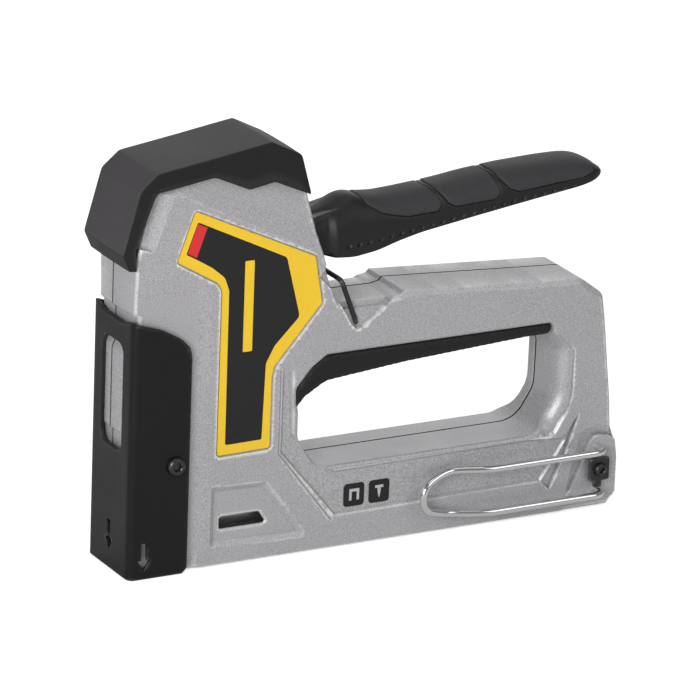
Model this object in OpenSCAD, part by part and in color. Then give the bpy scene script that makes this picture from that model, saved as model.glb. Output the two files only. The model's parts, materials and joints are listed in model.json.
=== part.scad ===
// Hand staple gun for heavy work, in millimetres.
// +X runs from the nose to the tail, +Z runs up, and the tool's left side faces -Y.
// The origin is the front edge of the nose at mid-width, on the surface that the nose stands on.

/* [Casing] */
// Length from the nose to the back of the casing
casing_length = 213; // [208:0.5:220]
// Half of the casing's width
half_width = 15.7; // [15.2:0.1:16.2]
// Wall of the two castings
wall = 2.4; // [2:0.1:2.6]
// Height of the head, without its cap
head_height = 163.5; // [161:0.5:167]
// Where the two castings meet across the width
parting_y = 4; // [2:0.5:5]
// Clearance between the casing's underside and the surface that the nose stands on
foot_gap = 0.6; // [0.3:0.1:1]

/* [Handle] */
// Height of the floor of the finger hole
hole_floor = 34.2; // [33.6:0.2:36]
// Height of the finger hole's roof in the castings
hole_roof = 80; // [79:0.5:81]
// Front end of the finger hole
hole_front = 73; // [72:0.5:74]
// Rear end of the finger hole
hole_rear = 188.6; // [186:0.2:190]
// Height of the handle's top at its front end
handle_top = 102; // [101:0.5:103]

/* [Nose and cap] */
// Half of the width of the nose cover
cover_half_width = 17.8; // [17.5:0.1:18.5]
// Sheet thickness of the nose cover
cover_sheet = 1.7; // [1.2:0.1:1.8]
// Depth of the nose cover's side flanges
cover_depth = 25.3; // [24:0.1:27]
// Height of the nose cover
cover_height = 104.6; // [103:0.2:105]
// Half of the width of the window in the nose cover
window_half_width = 8.8; // [7:0.2:9.5]
// Half of the width of the rubber cap at its lower edge
cap_half_width = 17.5; // [17.2:0.1:18]

/* [Lever] */
// Distance of the lever's pivot from the nose
pivot_x = 72; // [71:0.5:73]
// Height of the lever's pivot
pivot_z = 126; // [125.5:0.1:126.5]
// Diameter of the lever's pivot pin
pivot_d = 6; // [5:0.5:6.5]
// Half of the width of the grip moulded on the lever
grip_half_width = 12.3; // [11.6:0.1:12.5]
// Distance of the lift rollers from the nose
roller_x = 24; // [23:0.2:25]
// Height of the lift rollers
roller_z = 118.7; // [118.2:0.1:118.7]

/* [Striking parts] */
// Width of the driver blade, one staple crown
blade_width = 10.4; // [9:0.2:10.8]
// Thickness of the driver blade
blade_thick = 1.4; // [1:0.1:1.5]
// Wire of the main spring
main_wire = 2.6; // [2:0.1:2.8]
// Outer diameter of the main spring
main_spring_d = 16; // [15:0.1:16.2]
// Turns of the main spring
main_turns = 6.5; // [5:0.5:8]

/* [Magazine] */
// Half of the outer width of the magazine channel
channel_half_width = 7.5; // [7.3:0.05:7.5]
// Height of the magazine channel's roof
channel_top = 17.4; // [17:0.1:17.6]
// Half of the width of the rail that the staples straddle
rail_half_width = 4.3; // [4:0.1:4.5]
// Height of the rail's top edge
rail_top = 11.5; // [11:0.1:11.6]
// Turns of the follower's spring
follower_turns = 24; // [16:1:30]

/* [Wire parts] */
// Wire of the belt hook
hook_wire = 3; // [2.4:0.1:3]
// Wire of the lock bail
bail_wire = 2; // [1.6:0.1:2.2]

/* [Hidden] */
$fn = 48;

nose_x = 2;                         // front face of the castings
inner_half = half_width - wall;     // half of the casing's inner width
bore_gap = 0.05;                    // radial clearance of a pin in its bore
seat_gap = 0.25;                    // gap between two pieces that only lie side by side
tail_x = casing_length;
boss_x = casing_length + 3.4;       // rear face of the tail boss

// Side outline of the castings, round the tool from the nose's foot.
body_points = [
    [nose_x, foot_gap], [nose_x, 105.2], [1.5, 106], [1.5, 128], [7.5, 150], [12, 156],
    [56, head_height], [68, 158], [74.2, 147], [78.6, 133.7], [82.9, 117], [86.1, 106.4],
    [88.5, 100.2], [110, 100.2], [116, handle_top], [tail_x - 17, 96.7], [tail_x - 7, 89],
    [tail_x - 4.4, 76], [tail_x - 0.7, 44.3], [tail_x, 33.2], [boss_x - 1, 27],
    [boss_x, 20], [boss_x, 5.6], [tail_x, foot_gap]
];

// Finger hole of the castings, without the rubber insert that lines its roof.
hole_points = [
    [hole_front, 46.5], [hole_front, 59], [72, 61.5], [71.8, 67.8], [78.3, 75.5],
    [84.8, hole_roof], [178.8, hole_roof], [184.5, 76.5], [hole_rear - 0.8, 69],
    [hole_rear, 58], [hole_rear - 0.4, 47.5], [hole_rear - 3.4, 39], [180, hole_floor],
    [85.6, hole_floor]
];

// Underside of the rubber insert.
insert_underside = [[60, 56], [72.6, 59], [76.1, 63.3], [85.3, 68.7], [120.4, 72], [155.9, 74],
    [174.3, 75.1], [182.6, 75.8], [200, 76.4]];

// Screws that join the right casting to the left one, as [x, z].
body_screw_places = [[48, 62], [33, 150], [203, 62], [150, 89], [110, 25]];
locating_pin_places = [[58, 146], [199, 48]];
nose_screw_place = [19.2, 44.6];
rib_places = [40, 92, 140, 176];    // ribs that hold the magazine channel

// Striking train, on the axis of the main spring.
spring_x = 19;
plunger_front = 10;                 // the plunger's front face, and the blade's back
plunger_length = 18.5;
plunger_half = 8.9;
plunger_floor = 108;
plunger_top = 126;
lug_x = 17;                         // lugs that the rollers lift
lug_length = 9;
lug_thick = 4;
lift_half_width = 12.6;             // half of the width over the lugs
spring_floor = 110;
spring_top = 148;
spring_bore = main_spring_d / 2 + 0.3;
seat_x = 12.2;                      // seat above the spring
seat_length = 16.1;
seat_half = 9;
seat_thick = 3.4;
spigot_r = 4.3;
spigot_length = 7;
shelf_x = 11;                       // shelf in the castings that carries the bumper
shelf_length = 18;
shelf_z = 97;
shelf_thick = 4.7;
bumper_x = 11.2;
bumper_size = [17, 17, 6];
blade_floor = 0.8;
blade_rivet_places = [112, 118];
blade_rivet_d = 4;
blade_rivet_head_d = 6.4;

// Lever.
arm_inner = 9.3;                    // the lever's two arms
arm_outer = 10.9;
arm_place = [58, 123.5];            // middle of the arm, between the pivot and the roller
tongue_half = 7.5;
grip_rivet_places = [[102, 128.6], [172, 136]];
grip_rivet_d = 4;
pad_rise = 0.9;                     // how far the soft pads stand off the grip
roller_d = 6;
roller_pin_d = 3;
return_wire = 1.3;

// Screws: shank, head and socket.
screw_d = 4;
button_head_d = 7.8;
button_head_height = 2.3;
button_socket_depth = 1.4;
socket_d = 3;
body_head_d = 7.4;
body_head_floor = 12.3;
body_head_face = 15;
locating_pin_d = 3;
screw_boss_d = 8;

// Magazine.
rail_z = 1.4;
rail_wall = 0.9;
rail_front = 11;
rail_rear = 206.4;
rod_z = 7;
rod_d = 2.4;
channel_x = 14;
channel_rear = 206;
channel_floor = 1.2;
channel_wall = 1;
follower_x = 14;
follower_length = 12;
follower_half = 6.1;
follower_floor = 3;
follower_height = 12.6;
end_cap_length = 9;
end_cap_half = 7.2;
end_cap_height = 15.6;

// Latch in the magazine's end cap.
latch_x = 210.5;
latch_z = 8;
latch_half = 3;
latch_slot_half = 3.3;
latch_pin_d = 2;

// Lock bail.
bail_x = 97.8;
bail_z = 90.6;
bail_half = 13.6;
bail_floor = 12.3;                  // floor of the bail's recesses in the castings
bail_bar = [90.6, 109];

// Belt hook and its clip.
hook_x = 207.5;
hook_high = 25.5;
hook_low = 7.5;
hook_out = 22.5;                    // how far the wire stands from mid-width
boss_face = 17.3;
clip_screw = [207.2, 17];
clip_thick = 1.5;
clip_head_thick = 1.9;

// ---- Helpers ----

// Stretches a side outline, drawn as (x, z), from y0 to y1.
module side(y0, y1) {
    translate([0, y1, 0]) rotate([90, 0, 0]) linear_extrude(y1 - y0) children();
}

// Round bar across the tool, at (x, z).
module across(p, d, y0, y1) {
    translate([p[0], y1, p[1]]) rotate([90, 0, 0]) cylinder(h = y1 - y0, d = d);
}

// Round bar along the tool, at (y, z).
module along(y, z, d, x0, x1) {
    translate([x0, y, z]) rotate([0, 90, 0]) cylinder(h = x1 - x0, d = d);
}

// Straight round rod from point a to point b.
module rod(a, b, d) {
    v = b - a;
    translate(a) rotate([0, acos(v[2] / norm(v)), atan2(v[1], v[0])])
        cylinder(h = norm(v), d = d);
}

// Wire through a list of points, with a ball at each bend.
module bent_wire(points, d) {
    for (i = [0 : len(points) - 2]) rod(points[i], points[i + 1], d);
    for (i = [1 : len(points) - 2]) translate(points[i]) sphere(d = d);
}

function unit(v) = v / norm(v);

// Route with each inner corner turned into a three-point bend that starts r from the corner.
function eased(points, r) = [
    points[0],
    for (i = [1 : len(points) - 2])
        let (p = points[i], a = p + r * unit(points[i - 1] - p),
            b = p + r * unit(points[i + 1] - p))
        each [a, a / 4 + p / 2 + b / 4, b],
    points[len(points) - 1]
];

// Rings of a tube along a route: each ring is the last one carried along the wire to the plane
// that halves the next bend.
function tube_rings(points, ring, i = 1) = i == len(points) ? [] :
    let (d = unit(points[i] - points[i - 1]),
        n = i == len(points) - 1 ? d : unit(d + unit(points[i + 1] - points[i])),
        next = [for (q = ring) q + d * ((points[i] - q) * n) / (d * n)])
    concat([next], tube_rings(points, next, i + 1));

// Closed tube along a route that starts along +-Y.
module tube(points, d, sides = 10) {
    first = [for (j = [0 : sides - 1]) let (a = 360 * j / sides)
        points[0] + d / 2 * [cos(a), 0, sin(a)]];
    rings = concat([first], tube_rings(points, first));
    walls = [for (i = [0 : len(rings) - 2], j = [0 : sides - 1])
        let (k = (j + 1) % sides, p = i * sides, q = p + sides)
        each [[p + j, q + j, q + k], [p + j, q + k, p + k]]];
    start = [for (j = [0 : sides - 1]) j];
    end = [for (j = [sides - 1 : -1 : 0]) (len(rings) - 1) * sides + j];
    polyhedron([for (ring = rings) each ring], concat(walls, [start, end]), convexity = 10);
}

// Helical spring along +Z from the origin: mean radius, wire diameter, length and turns.
// Each ring of the wire is a circle of points about the helix, which rises evenly.
module coil(radius, wire, length, turns, steps = 12, sides = 6) {
    rings = ceil(turns * steps);
    rise = length - wire;
    points = [for (i = [0 : rings], j = [0 : sides - 1])
        let (t = 360 * turns * i / rings, a = 360 * j / sides, r = radius + wire / 2 * cos(a))
        [r * cos(t), r * sin(t), wire / 2 + rise * i / rings + wire / 2 * sin(a)]];
    walls = [for (i = [0 : rings - 1], j = [0 : sides - 1])
        let (k = (j + 1) % sides, p = i * sides, q = p + sides)
        each [[p + j, q + k, q + j], [p + j, p + k, q + k]]];
    first = [for (j = [sides - 1 : -1 : 0]) j];
    last = [for (j = [0 : sides - 1]) rings * sides + j];
    polyhedron(points, concat(walls, [first, last]), convexity = 10);
}

// ---- Side outlines ----

module body_outline() { polygon(body_points); }

module hole_outline() { polygon(hole_points); }

// Opening at the back of the head for the lever.
module lever_gate() { polygon([[64, 143.5], [80, 152], [96, 112], [90, 104.5], [66, 108]]); }

// Hollow of the castings: the outline less a wall all round, and deeper behind the nose.
module hollow_outline() {
    difference() {
        offset(delta = -wall) body_outline();
        offset(delta = wall) hole_outline();
        translate([0, -5]) square([8.4, 103]);
    }
    lever_gate();
}

// V-shaped recess for one leg of the lock bail.
module bail_recess_outline() {
    polygon([[93.4, 90], [97, 86.6], [101, 87.6], [119.5, 106], [84, 118], [80, 112]]);
}

// Window through which the staples are seen.
module staple_window_outline() { polygon([[41, 14.6], [41, 18.6], [57.5, 18.6], [60, 14.6]]); }

// Boss at the tail that carries the belt hook.
module tail_boss_outline() {
    intersection() {
        union() {
            translate([207.5, 23]) circle(d = 24);
            translate([195.5, 4]) square([30, 19]);
        }
        body_outline();
    }
}

// Printed label on the head.
module decal_outline() {
    polygon([[26, 145], [78.3, 120.7], [81.7, 101.5], [62.1, 78.7], [60.9, 74.5], [60.9, 45.4],
        [38.2, 45], [38.4, 112.1], [36.6, 115.2], [19, 125.6]]);
}

// ---- Castings ----

// Wall round a casting and its side plate: solid from y0 to y1, hollow from hollow0 to hollow1.
module casting_walls(y0, y1, hollow0, hollow1) {
    difference() {
        side(y0, y1) difference() {
            body_outline();
            hole_outline();
        }
        side(hollow0, hollow1) hollow_outline();
    }
}

// Bosses, ribs and shelf inside a casting, from its side wall to y = reach. s is -1 for the
// left casting and 1 for the right one.
module casting_inside(s, reach) {
    y_in = s < 0 ? -inner_half - 0.1 : reach;
    y_out = s < 0 ? reach : inner_half + 0.1;
    for (p = body_screw_places) across(p, screw_boss_d, y_in, y_out);
    for (p = locating_pin_places) across(p, 6, y_in, y_out);
    side(y_in, y_out) {
        translate([shelf_x, shelf_z]) square([shelf_length, shelf_thick]);
        translate([8, 20]) square([3, 70]);
    }
    for (x = rib_places) translate([x, 0, 0]) intersection() {
        translate([0, y_in, 2]) cube([wall, y_out - y_in, 31]);
        side(y_in - 1, y_out + 1) translate([-x, 0]) offset(delta = -0.2) body_outline();
    }
}

// Bosses that belong to one side wall whatever the parting plane is.
module side_bosses(s) {
    a = s < 0 ? -inner_half - 0.1 : 11.2;
    b = s < 0 ? -11.2 : inner_half + 0.1;
    across([pivot_x, pivot_z], 15, a, b);
    c = s < 0 ? -inner_half - 0.1 : 9;
    d = s < 0 ? -9 : inner_half + 0.1;
    across(nose_screw_place, 8.5, c, d);
    across(clip_screw, 9, c, d);
    side(c, d) intersection() {
        offset(delta = 1.6) bail_recess_outline();
        offset(delta = -0.5) difference() {
            body_outline();
            hole_outline();
            lever_gate();
        }
    }
    e = s < 0 ? -boss_face : half_width - 0.1;
    f = s < 0 ? -half_width + 0.1 : boss_face;
    side(e, f) tail_boss_outline();
}

// Everything that is cut through or into the castings.
module casting_cuts() {
    // Magazine tunnel, open below and at the tail.
    translate([8.4, -channel_half_width - 0.1, -5])
        cube([230, 2 * channel_half_width + 0.2, 5 + channel_top + 0.2]);
    // Way of the driver blade behind the thick nose wall.
    translate([8.4, -blade_width / 2 - 0.3, -5]) cube([5, blade_width + 0.6, 110]);
    // Pivot pin, and the screws from the right and at the nose.
    across([pivot_x, pivot_z], pivot_d + 2 * bore_gap, -inner_half - 0.1, inner_half + 0.1);
    for (p = body_screw_places) {
        across(p, screw_d + 2 * bore_gap, -8, half_width + 1);
        across(p, body_head_d + 0.4, body_head_floor - 0.1, half_width + 1);
    }
    for (p = locating_pin_places) across(p, locating_pin_d + 2 * bore_gap, parting_y - 5, parting_y + 5);
    for (s = [-1, 1]) {
        across(nose_screw_place, 4.1, s < 0 ? -half_width - 1 : 9.5, s < 0 ? -9.5 : half_width + 1);
        across([bail_x, bail_z], bail_wire + 0.1, s < 0 ? -14 : 10, s < 0 ? -10 : 14);
        side(s < 0 ? -half_width - 1 : bail_floor, s < 0 ? -bail_floor : half_width + 1)
            bail_recess_outline();
        side(s < 0 ? -half_width - 1 : 7, s < 0 ? -7 : half_width + 1) staple_window_outline();
    }
    // Seats of the belt hook's ends and of its clip screw.
    for (z = [hook_high, hook_low]) across([hook_x, z], hook_wire + 0.2, -boss_face - 1, -13.9);
    across(clip_screw, 3.1, -boss_face - 1, -9.6);
}

module left_housing() color("silver") difference() {
    union() {
        casting_walls(-half_width, parting_y, -inner_half, parting_y + 1);
        casting_inside(-1, parting_y);
        side_bosses(-1);
    }
    casting_cuts();
}

module right_cover() color("silver") difference() {
    union() {
        casting_walls(parting_y, half_width, parting_y - 1, inner_half);
        casting_inside(1, parting_y);
        side_bosses(1);
    }
    casting_cuts();
}

// ---- Cap and nose ----

module cap_outline() {
    polygon([[-4.7, 131.6], [2.2, 155.8], [9, 162], [57, head_height + 6], [70, 163], [74.5, 146],
        [70, 120], [-2, 120]]);
}

// Lower edge of the cap: all that lies above this line.
module cap_skirt() {
    polygon([[-20, 131], [-4.9, 131], [-1.5, 124.8], [0.4, 125], [-0.3, 133.7], [7.2, 154.4],
        [32.8, 158], [47.5, 151.8], [58.3, 153.9], [74.8, 146], [90, 146], [90, 190],
        [-20, 190]]);
}

// Rubber cap over the head: narrow at its top edges and wide at its skirt.
module top_cap() color("dimgray") difference() {
    intersection() {
        hull() {
            side(-16.2, 16.2) cap_outline();
            side(-cap_half_width, cap_half_width) intersection() {
                offset(delta = -2.4) cap_outline();
                translate([-20, 0]) square([120, 157]);
            }
        }
        side(-30, 30) cap_skirt();
    }
    side(-half_width - seat_gap, half_width + seat_gap) offset(delta = seat_gap) body_outline();
}

// Cross-section of the nose cover, seen from above.
module cover_profile(half, x0, radius) {
    translate([x0, -half + radius]) square([60, 2 * (half - radius)]);
    translate([x0 + radius, -half]) square([60, 2 * half]);
    for (s = [-1, 1]) translate([x0 + radius, s * (half - radius)]) circle(r = radius);
}

// Arrow with its tip at (0, 0), pointing down.
module arrow(width, height) {
    polygon([[0, 0], [width / 2, height * 0.38], [width / 5, height * 0.38],
        [width / 5, height], [-width / 5, height], [-width / 5, height * 0.38],
        [-width / 2, height * 0.38]]);
}

module rounded_rectangle(x0, x1, z0, z1, r) {
    translate([x0 + r, z0]) square([x1 - x0 - 2 * r, z1 - z0]);
    translate([x0, z0 + r]) square([x1 - x0, z1 - z0 - 2 * r]);
    for (x = [x0 + r, x1 - r], z = [z0 + r, z1 - r]) translate([x, z]) circle(r = r);
}

module nose_cover() color([0.16, 0.16, 0.17]) difference() {
    intersection() {
        linear_extrude(cover_height + 5) difference() {
            cover_profile(cover_half_width, 0, 3.2);
            cover_profile(cover_half_width - cover_sheet, cover_sheet, 1.6);
        }
        side(-30, 30) polygon([[-1, 0], [cover_depth - 2, 0], [cover_depth, 2],
            [cover_depth, 88], [24.4, 91.6], [20.7, 95.4], [12.2, 100.2],
            [1.6, cover_height], [-1, cover_height]]);
    }
    // The front edge dips towards mid-width.
    along(0, cover_height + 54, 112, -1, 3);
    // Window and arrow in the front face.
    translate([-1, 0, 0]) rotate([90, 0, 90]) linear_extrude(4) {
        rounded_rectangle(-window_half_width, window_half_width, 50, 93, 4);
        translate([0, 7.5]) arrow(6.4, 12);
    }
    // Arrow and screw hole in each flange.
    side(-30, 30) translate([6.8, 3.6]) arrow(5.4, 11);
    across(nose_screw_place, 4.4, -30, 30);
}

// Button-head screw at p on the side s, with its head on |y| = face and its end at |y| = reach.
module button_screw(p, face, s, reach) {
    a = s < 0 ? -face - button_head_height : face;
    b = s < 0 ? -face : face + button_head_height;
    difference() {
        union() {
            across(p, button_head_d, a, b);
            across(p, screw_d, s < 0 ? -face : reach, s < 0 ? -reach : face);
        }
        across(p, socket_d, s < 0 ? a - 1 : b - button_socket_depth,
            s < 0 ? a + button_socket_depth : b + 1);
    }
}

module nose_screws() color("dimgray") {
    for (s = [-1, 1]) button_screw(nose_screw_place, cover_half_width, s, 10);
}

module body_screws() color("gray") {
    for (p = body_screw_places) difference() {
        union() {
            across(p, body_head_d, body_head_floor, body_head_face);
            across(p, screw_d, -7, body_head_floor);
        }
        across(p, socket_d, body_head_face - button_socket_depth, body_head_face + 1);
    }
}

module locating_pins() color("lightgray") {
    for (p = locating_pin_places) across(p, locating_pin_d, parting_y - 4.5, parting_y + 4.5);
}

module decal_left() color("gold") side(-half_width - 0.3, -half_width) decal_outline();

module decal_right() color("gold") side(half_width, half_width + 0.3) decal_outline();

module icon_plates() color([0.15, 0.15, 0.16]) {
    side(-half_width - 0.3, -half_width) for (x = [94.2, 105.3])
        rounded_rectangle(x, x + 9, 15.9, 25.3, 1.4);
}

module grip_insert() color([0.13, 0.13, 0.14]) side(-half_width + 0.1, half_width - 0.1)
    intersection() {
        hole_outline();
        polygon(concat(insert_underside, [[200, 90], [60, 90]]));
    }

// ---- Lever ----

// Side outline of the grip on the lever.
module grip_outline() {
    polygon([[80.2, 136.4], [86.3, 138.2], [94.7, 141.4], [96.6, 141.7], [106.9, 140],
        [128.9, 140.7], [153.3, 144], [193, 144.9], [203, 142.4], [208.6, 138.4], [209.8, 135.6],
        [206.5, 133.6], [193.1, 133.1], [168.9, 129.7], [148.6, 126.6], [129.9, 124.2],
        [121.3, 122.3], [108.2, 118.2], [98.7, 116.7], [89.6, 117.5], [80.2, 120.4]]);
}

// Tongue of the lever inside its grip.
module tongue_outline() {
    polygon([[78, 122], [90, 120.6], [100, 120.6], [120, 125.4], [186, 135], [186, 140.5],
        [150, 139], [110, 136], [96, 137], [78, 133]]);
}

// One arm of the lever, from the hub at the pivot to the roller.
module arm_outline() {
    hull() {
        translate([pivot_x, pivot_z]) circle(r = 8.5);
        translate(arm_place) circle(r = 6);
    }
    hull() {
        translate(arm_place) circle(r = 6);
        translate([roller_x, roller_z]) circle(r = 2.4);
    }
    polygon([[pivot_x, 119.6], [80, 119.6], [80, 135], [pivot_x, 134.4]]);
}

module lever_core() color([0.2, 0.2, 0.21]) difference() {
    union() {
        side(-arm_outer, -arm_inner) arm_outline();
        side(arm_inner, arm_outer) arm_outline();
        side(-arm_outer, arm_outer) polygon([[77.4, 119.6], [80, 119.6], [80, 135], [77.4, 135]]);
        side(-tongue_half, tongue_half) tongue_outline();
    }
    across([pivot_x, pivot_z], pivot_d + 2 * bore_gap, -20, 20);
    across([roller_x, roller_z], roller_pin_d + 2 * bore_gap, -20, 20);
    for (p = grip_rivet_places) across(p, grip_rivet_d + 2 * bore_gap, -20, 20);
}

module lever_grip() color([0.13, 0.13, 0.14]) difference() {
    union() {
        side(-grip_half_width, grip_half_width) intersection() {
            grip_outline();
            translate([106, 100]) square([120, 60]);
        }
        side(-arm_outer, arm_outer) intersection() {
            grip_outline();
            translate([60, 100]) square([47, 60]);
        }
    }
    side(-tongue_half - 0.1, tongue_half + 0.1) offset(delta = 0.1) tongue_outline();
    for (p = grip_rivet_places) across(p, grip_rivet_d + 2 * bore_gap, -20, 20);
}

module grip_rivets() color("dimgray") {
    for (p = grip_rivet_places) across(p, grip_rivet_d, -10.4, 10.4);
}

// Soft pad over the top of the grip between x0 and x1, from the line that slopes up to the tail.
module soft_pad(x0, x1, z0, z1) {
    difference() {
        side(-grip_half_width - pad_rise, grip_half_width + pad_rise) intersection() {
            offset(r = pad_rise) grip_outline();
            polygon([[x0, 160], [x0 + 3, z0], [x1 - 1, z1], [x1 + 3, 160]]);
        }
        side(-grip_half_width, grip_half_width) grip_outline();
    }
}

module lever_pad_front() color([0.17, 0.17, 0.18]) soft_pad(108, 132, 131, 134);
module lever_pad_mid() color([0.17, 0.17, 0.18]) soft_pad(135, 160, 134, 136);
module lever_pad_rear() color([0.17, 0.17, 0.18]) soft_pad(163, 198, 136.5, 138);

module lever_pivot_pin() color("lightgray") {
    across([pivot_x, pivot_z], pivot_d, -inner_half, inner_half);
}

// Torsion spring on the pivot pin, with one leg against the casing and one on the lever.
module return_spring() color("lightgray") {
    translate([pivot_x, 3.2, pivot_z]) rotate([90, 0, 0])
        coil(4.6, return_wire, 6.4, 3.5, 14, 6);
}

module lift_rollers() color("lightgray") {
    for (s = [-1, 1]) difference() {
        across([roller_x, roller_z], roller_d, s < 0 ? -12.6 : 11.1, s < 0 ? -11.1 : 12.6);
        across([roller_x, roller_z], roller_pin_d + 2 * bore_gap, -20, 20);
    }
}

module roller_pins() color("gray") {
    for (s = [-1, 1]) across([roller_x, roller_z], roller_pin_d, s < 0 ? -12.9 : arm_inner,
        s < 0 ? -arm_inner : 12.9);
}

// ---- Striking parts ----

module plunger() color("gray") difference() {
    union() {
        translate([plunger_front, -plunger_half, plunger_floor])
            cube([plunger_length, 2 * plunger_half, plunger_top - plunger_floor]);
        translate([lug_x, -lift_half_width, plunger_top - lug_thick])
            cube([lug_length, 2 * lift_half_width, lug_thick]);
    }
    translate([spring_x, 0, spring_floor]) cylinder(h = 30, r = spring_bore);
    for (z = blade_rivet_places) along(0, z, blade_rivet_d + 2 * bore_gap, 0, 14);
}

module driver_blade() color("lightsteelblue") difference() {
    translate([plunger_front - blade_thick, -blade_width / 2, blade_floor])
        cube([blade_thick, blade_width, plunger_top - 2.2 - blade_floor]);
    for (z = blade_rivet_places) along(0, z, blade_rivet_d + 2 * bore_gap, 0, 20);
}

// Each rivet ends inside the plunger's front wall, short of the spring.
module blade_rivets() color("silver") {
    blade_front = plunger_front - blade_thick;
    for (z = blade_rivet_places) {
        along(0, z, blade_rivet_d, blade_front, plunger_front + 0.6);
        along(0, z, blade_rivet_head_d, blade_front - 0.9, blade_front);
    }
}

module main_spring() color("silver") {
    translate([spring_x, 0, spring_floor])
        coil((main_spring_d - main_wire) / 2, main_wire, spring_top - spring_floor, main_turns, 16, 8);
}

// Seat above the main spring, with a spigot inside the coil.
module spring_seat() color("gray") {
    translate([seat_x, -seat_half, spring_top]) cube([seat_length, 2 * seat_half, seat_thick]);
    translate([spring_x, 0, spring_top - spigot_length])
        cylinder(h = spigot_length + 1, r = spigot_r);
}

module bumper() color([0.15, 0.15, 0.15]) {
    translate([bumper_x, -bumper_size[1] / 2, shelf_z + shelf_thick]) cube(bumper_size);
}

// ---- Magazine ----

module magazine_channel() color("lightgray") difference() {
    translate([channel_x, -channel_half_width, channel_floor])
        cube([channel_rear - channel_x, 2 * channel_half_width, channel_top - channel_floor]);
    translate([0, -channel_half_width + channel_wall, -channel_wall])
        cube([220, 2 * (channel_half_width - channel_wall), channel_top]);
}

module magazine_rail() color("silver") difference() {
    translate([rail_front, -rail_half_width, rail_z])
        cube([rail_rear - rail_front, 2 * rail_half_width, rail_top - rail_z]);
    translate([rail_front + rail_wall, -rail_half_width + rail_wall, rail_z + rail_wall])
        cube([220, 2 * (rail_half_width - rail_wall), 20]);
}

module follower() color("dimgray") difference() {
    translate([follower_x, -follower_half, follower_floor])
        cube([follower_length, 2 * follower_half, follower_height]);
    for (s = [-1, 1]) translate([0, s * (rail_half_width - rail_wall / 2), 0])
        translate([0, -rail_wall / 2 - 0.25, 0]) cube([60, rail_wall + 0.5, rail_top + 0.3]);
    along(0, rod_z, rod_d + 2 * bore_gap, 0, 60);
}

module follower_rod() color("silver") {
    along(0, rod_z, rod_d, rail_front + rail_wall, rail_rear);
}

module follower_spring() color("silver") {
    translate([follower_x + follower_length + 0.2, 0, rod_z]) rotate([0, 90, 0])
        coil(2.4, 0.8, rail_rear - follower_x - follower_length - 0.4, follower_turns, 10, 6);
}

// End cap of the rail, with a slot for the latch.
module magazine_end_cap() color([0.15, 0.15, 0.16]) difference() {
    translate([rail_rear, -end_cap_half, rail_z])
        cube([end_cap_length, 2 * end_cap_half, end_cap_height]);
    translate([rail_rear + 1.9, -latch_slot_half, 4]) cube([20, 2 * latch_slot_half, 20]);
    translate([rail_rear - 1, -latch_slot_half, 13.2]) cube([20, 2 * latch_slot_half, 20]);
    across([latch_x, latch_z], latch_pin_d + 2 * bore_gap, -5.6, 5.6);
}

module latch_button() color("firebrick") difference() {
    side(-latch_half, latch_half) {
        translate([latch_x, latch_z]) circle(r = 2.1);
        polygon([[latch_x, 6], [214.9, 5.6], [214.9, 15], [213.6, 16.1], [203.5, 16.1],
            [203.5, 15.2], [205, 14.3], [212, 14.3], [212, 10.1], [latch_x, 10.1]]);
    }
    across([latch_x, latch_z], latch_pin_d + 0.06, -20, 20);
}

module latch_pin() color("silver") across([latch_x, latch_z], latch_pin_d, -5.5, 5.5);

module latch_spring() color("silver") {
    translate([rail_rear + 2, 0, 12]) rotate([0, 90, 0]) coil(1.1, 0.5, 3.5, 4, 10, 6);
}

// ---- Wire parts ----

module lock_bail() color([0.1, 0.1, 0.1]) {
    path = [for (s = [-1, 1]) each (s < 0
        ? [[bail_x, -10.4, bail_z], [bail_x, -bail_half, bail_z],
           [bail_bar[0], -bail_half, bail_bar[1]]]
        : [[bail_bar[0], bail_half, bail_bar[1]], [bail_x, bail_half, bail_z],
           [bail_x, 10.4, bail_z]])];
    bent_wire(path, bail_wire);
}

module belt_hook() color("lightgray") {
    half = [[hook_x, -14, hook_high], [hook_x, -hook_out, hook_high],
        [154, -hook_out, hook_high], [142, -17.6, hook_high], [136.5, -17.8, hook_high - 0.7],
        [126.6, -20.7, 21.4]];
    mid = (hook_high + hook_low) / 2;
    mirrored = [for (i = [len(half) - 1 : -1 : 0])
        [half[i][0], half[i][1], 2 * mid - half[i][2]]];
    tube(eased(concat(half, mirrored), 2.2), hook_wire);
}

module hook_clip() color([0.12, 0.12, 0.12]) difference() {
    side(-boss_face - clip_thick, -boss_face) {
        rounded_rectangle(202.7, 211.7, 12.2, 21.8, 1);
        translate([205, 9.4]) square([3.4, 4]);
    }
    across(clip_screw, 3.3, -30, 0);
}

module hook_screw() color("black") difference() {
    union() {
        across(clip_screw, 5.6, -boss_face - clip_thick - clip_head_thick, -boss_face - clip_thick);
        across(clip_screw, 3, -boss_face - clip_thick, -10);
    }
    across(clip_screw, 2, -boss_face - 5, -boss_face - clip_thick - 0.9);
}

left_housing();
right_cover();
top_cap();
nose_cover();
nose_screws();
body_screws();
locating_pins();
decal_left();
decal_right();
icon_plates();
grip_insert();
lever_core();
lever_grip();
lever_pad_front();
lever_pad_mid();
lever_pad_rear();
grip_rivets();
lever_pivot_pin();
return_spring();
lift_rollers();
roller_pins();
plunger();
driver_blade();
blade_rivets();
main_spring();
spring_seat();
bumper();
magazine_channel();
magazine_rail();
magazine_end_cap();
follower();
follower_rod();
follower_spring();
latch_button();
latch_pin();
latch_spring();
lock_bail();
belt_hook();
hook_clip();
hook_screw();
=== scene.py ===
import json
import math

import bmesh
import bpy
import numpy as np
from mathutils import Matrix, Vector
from mathutils.geometry import delaunay_2d_cdt


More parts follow.
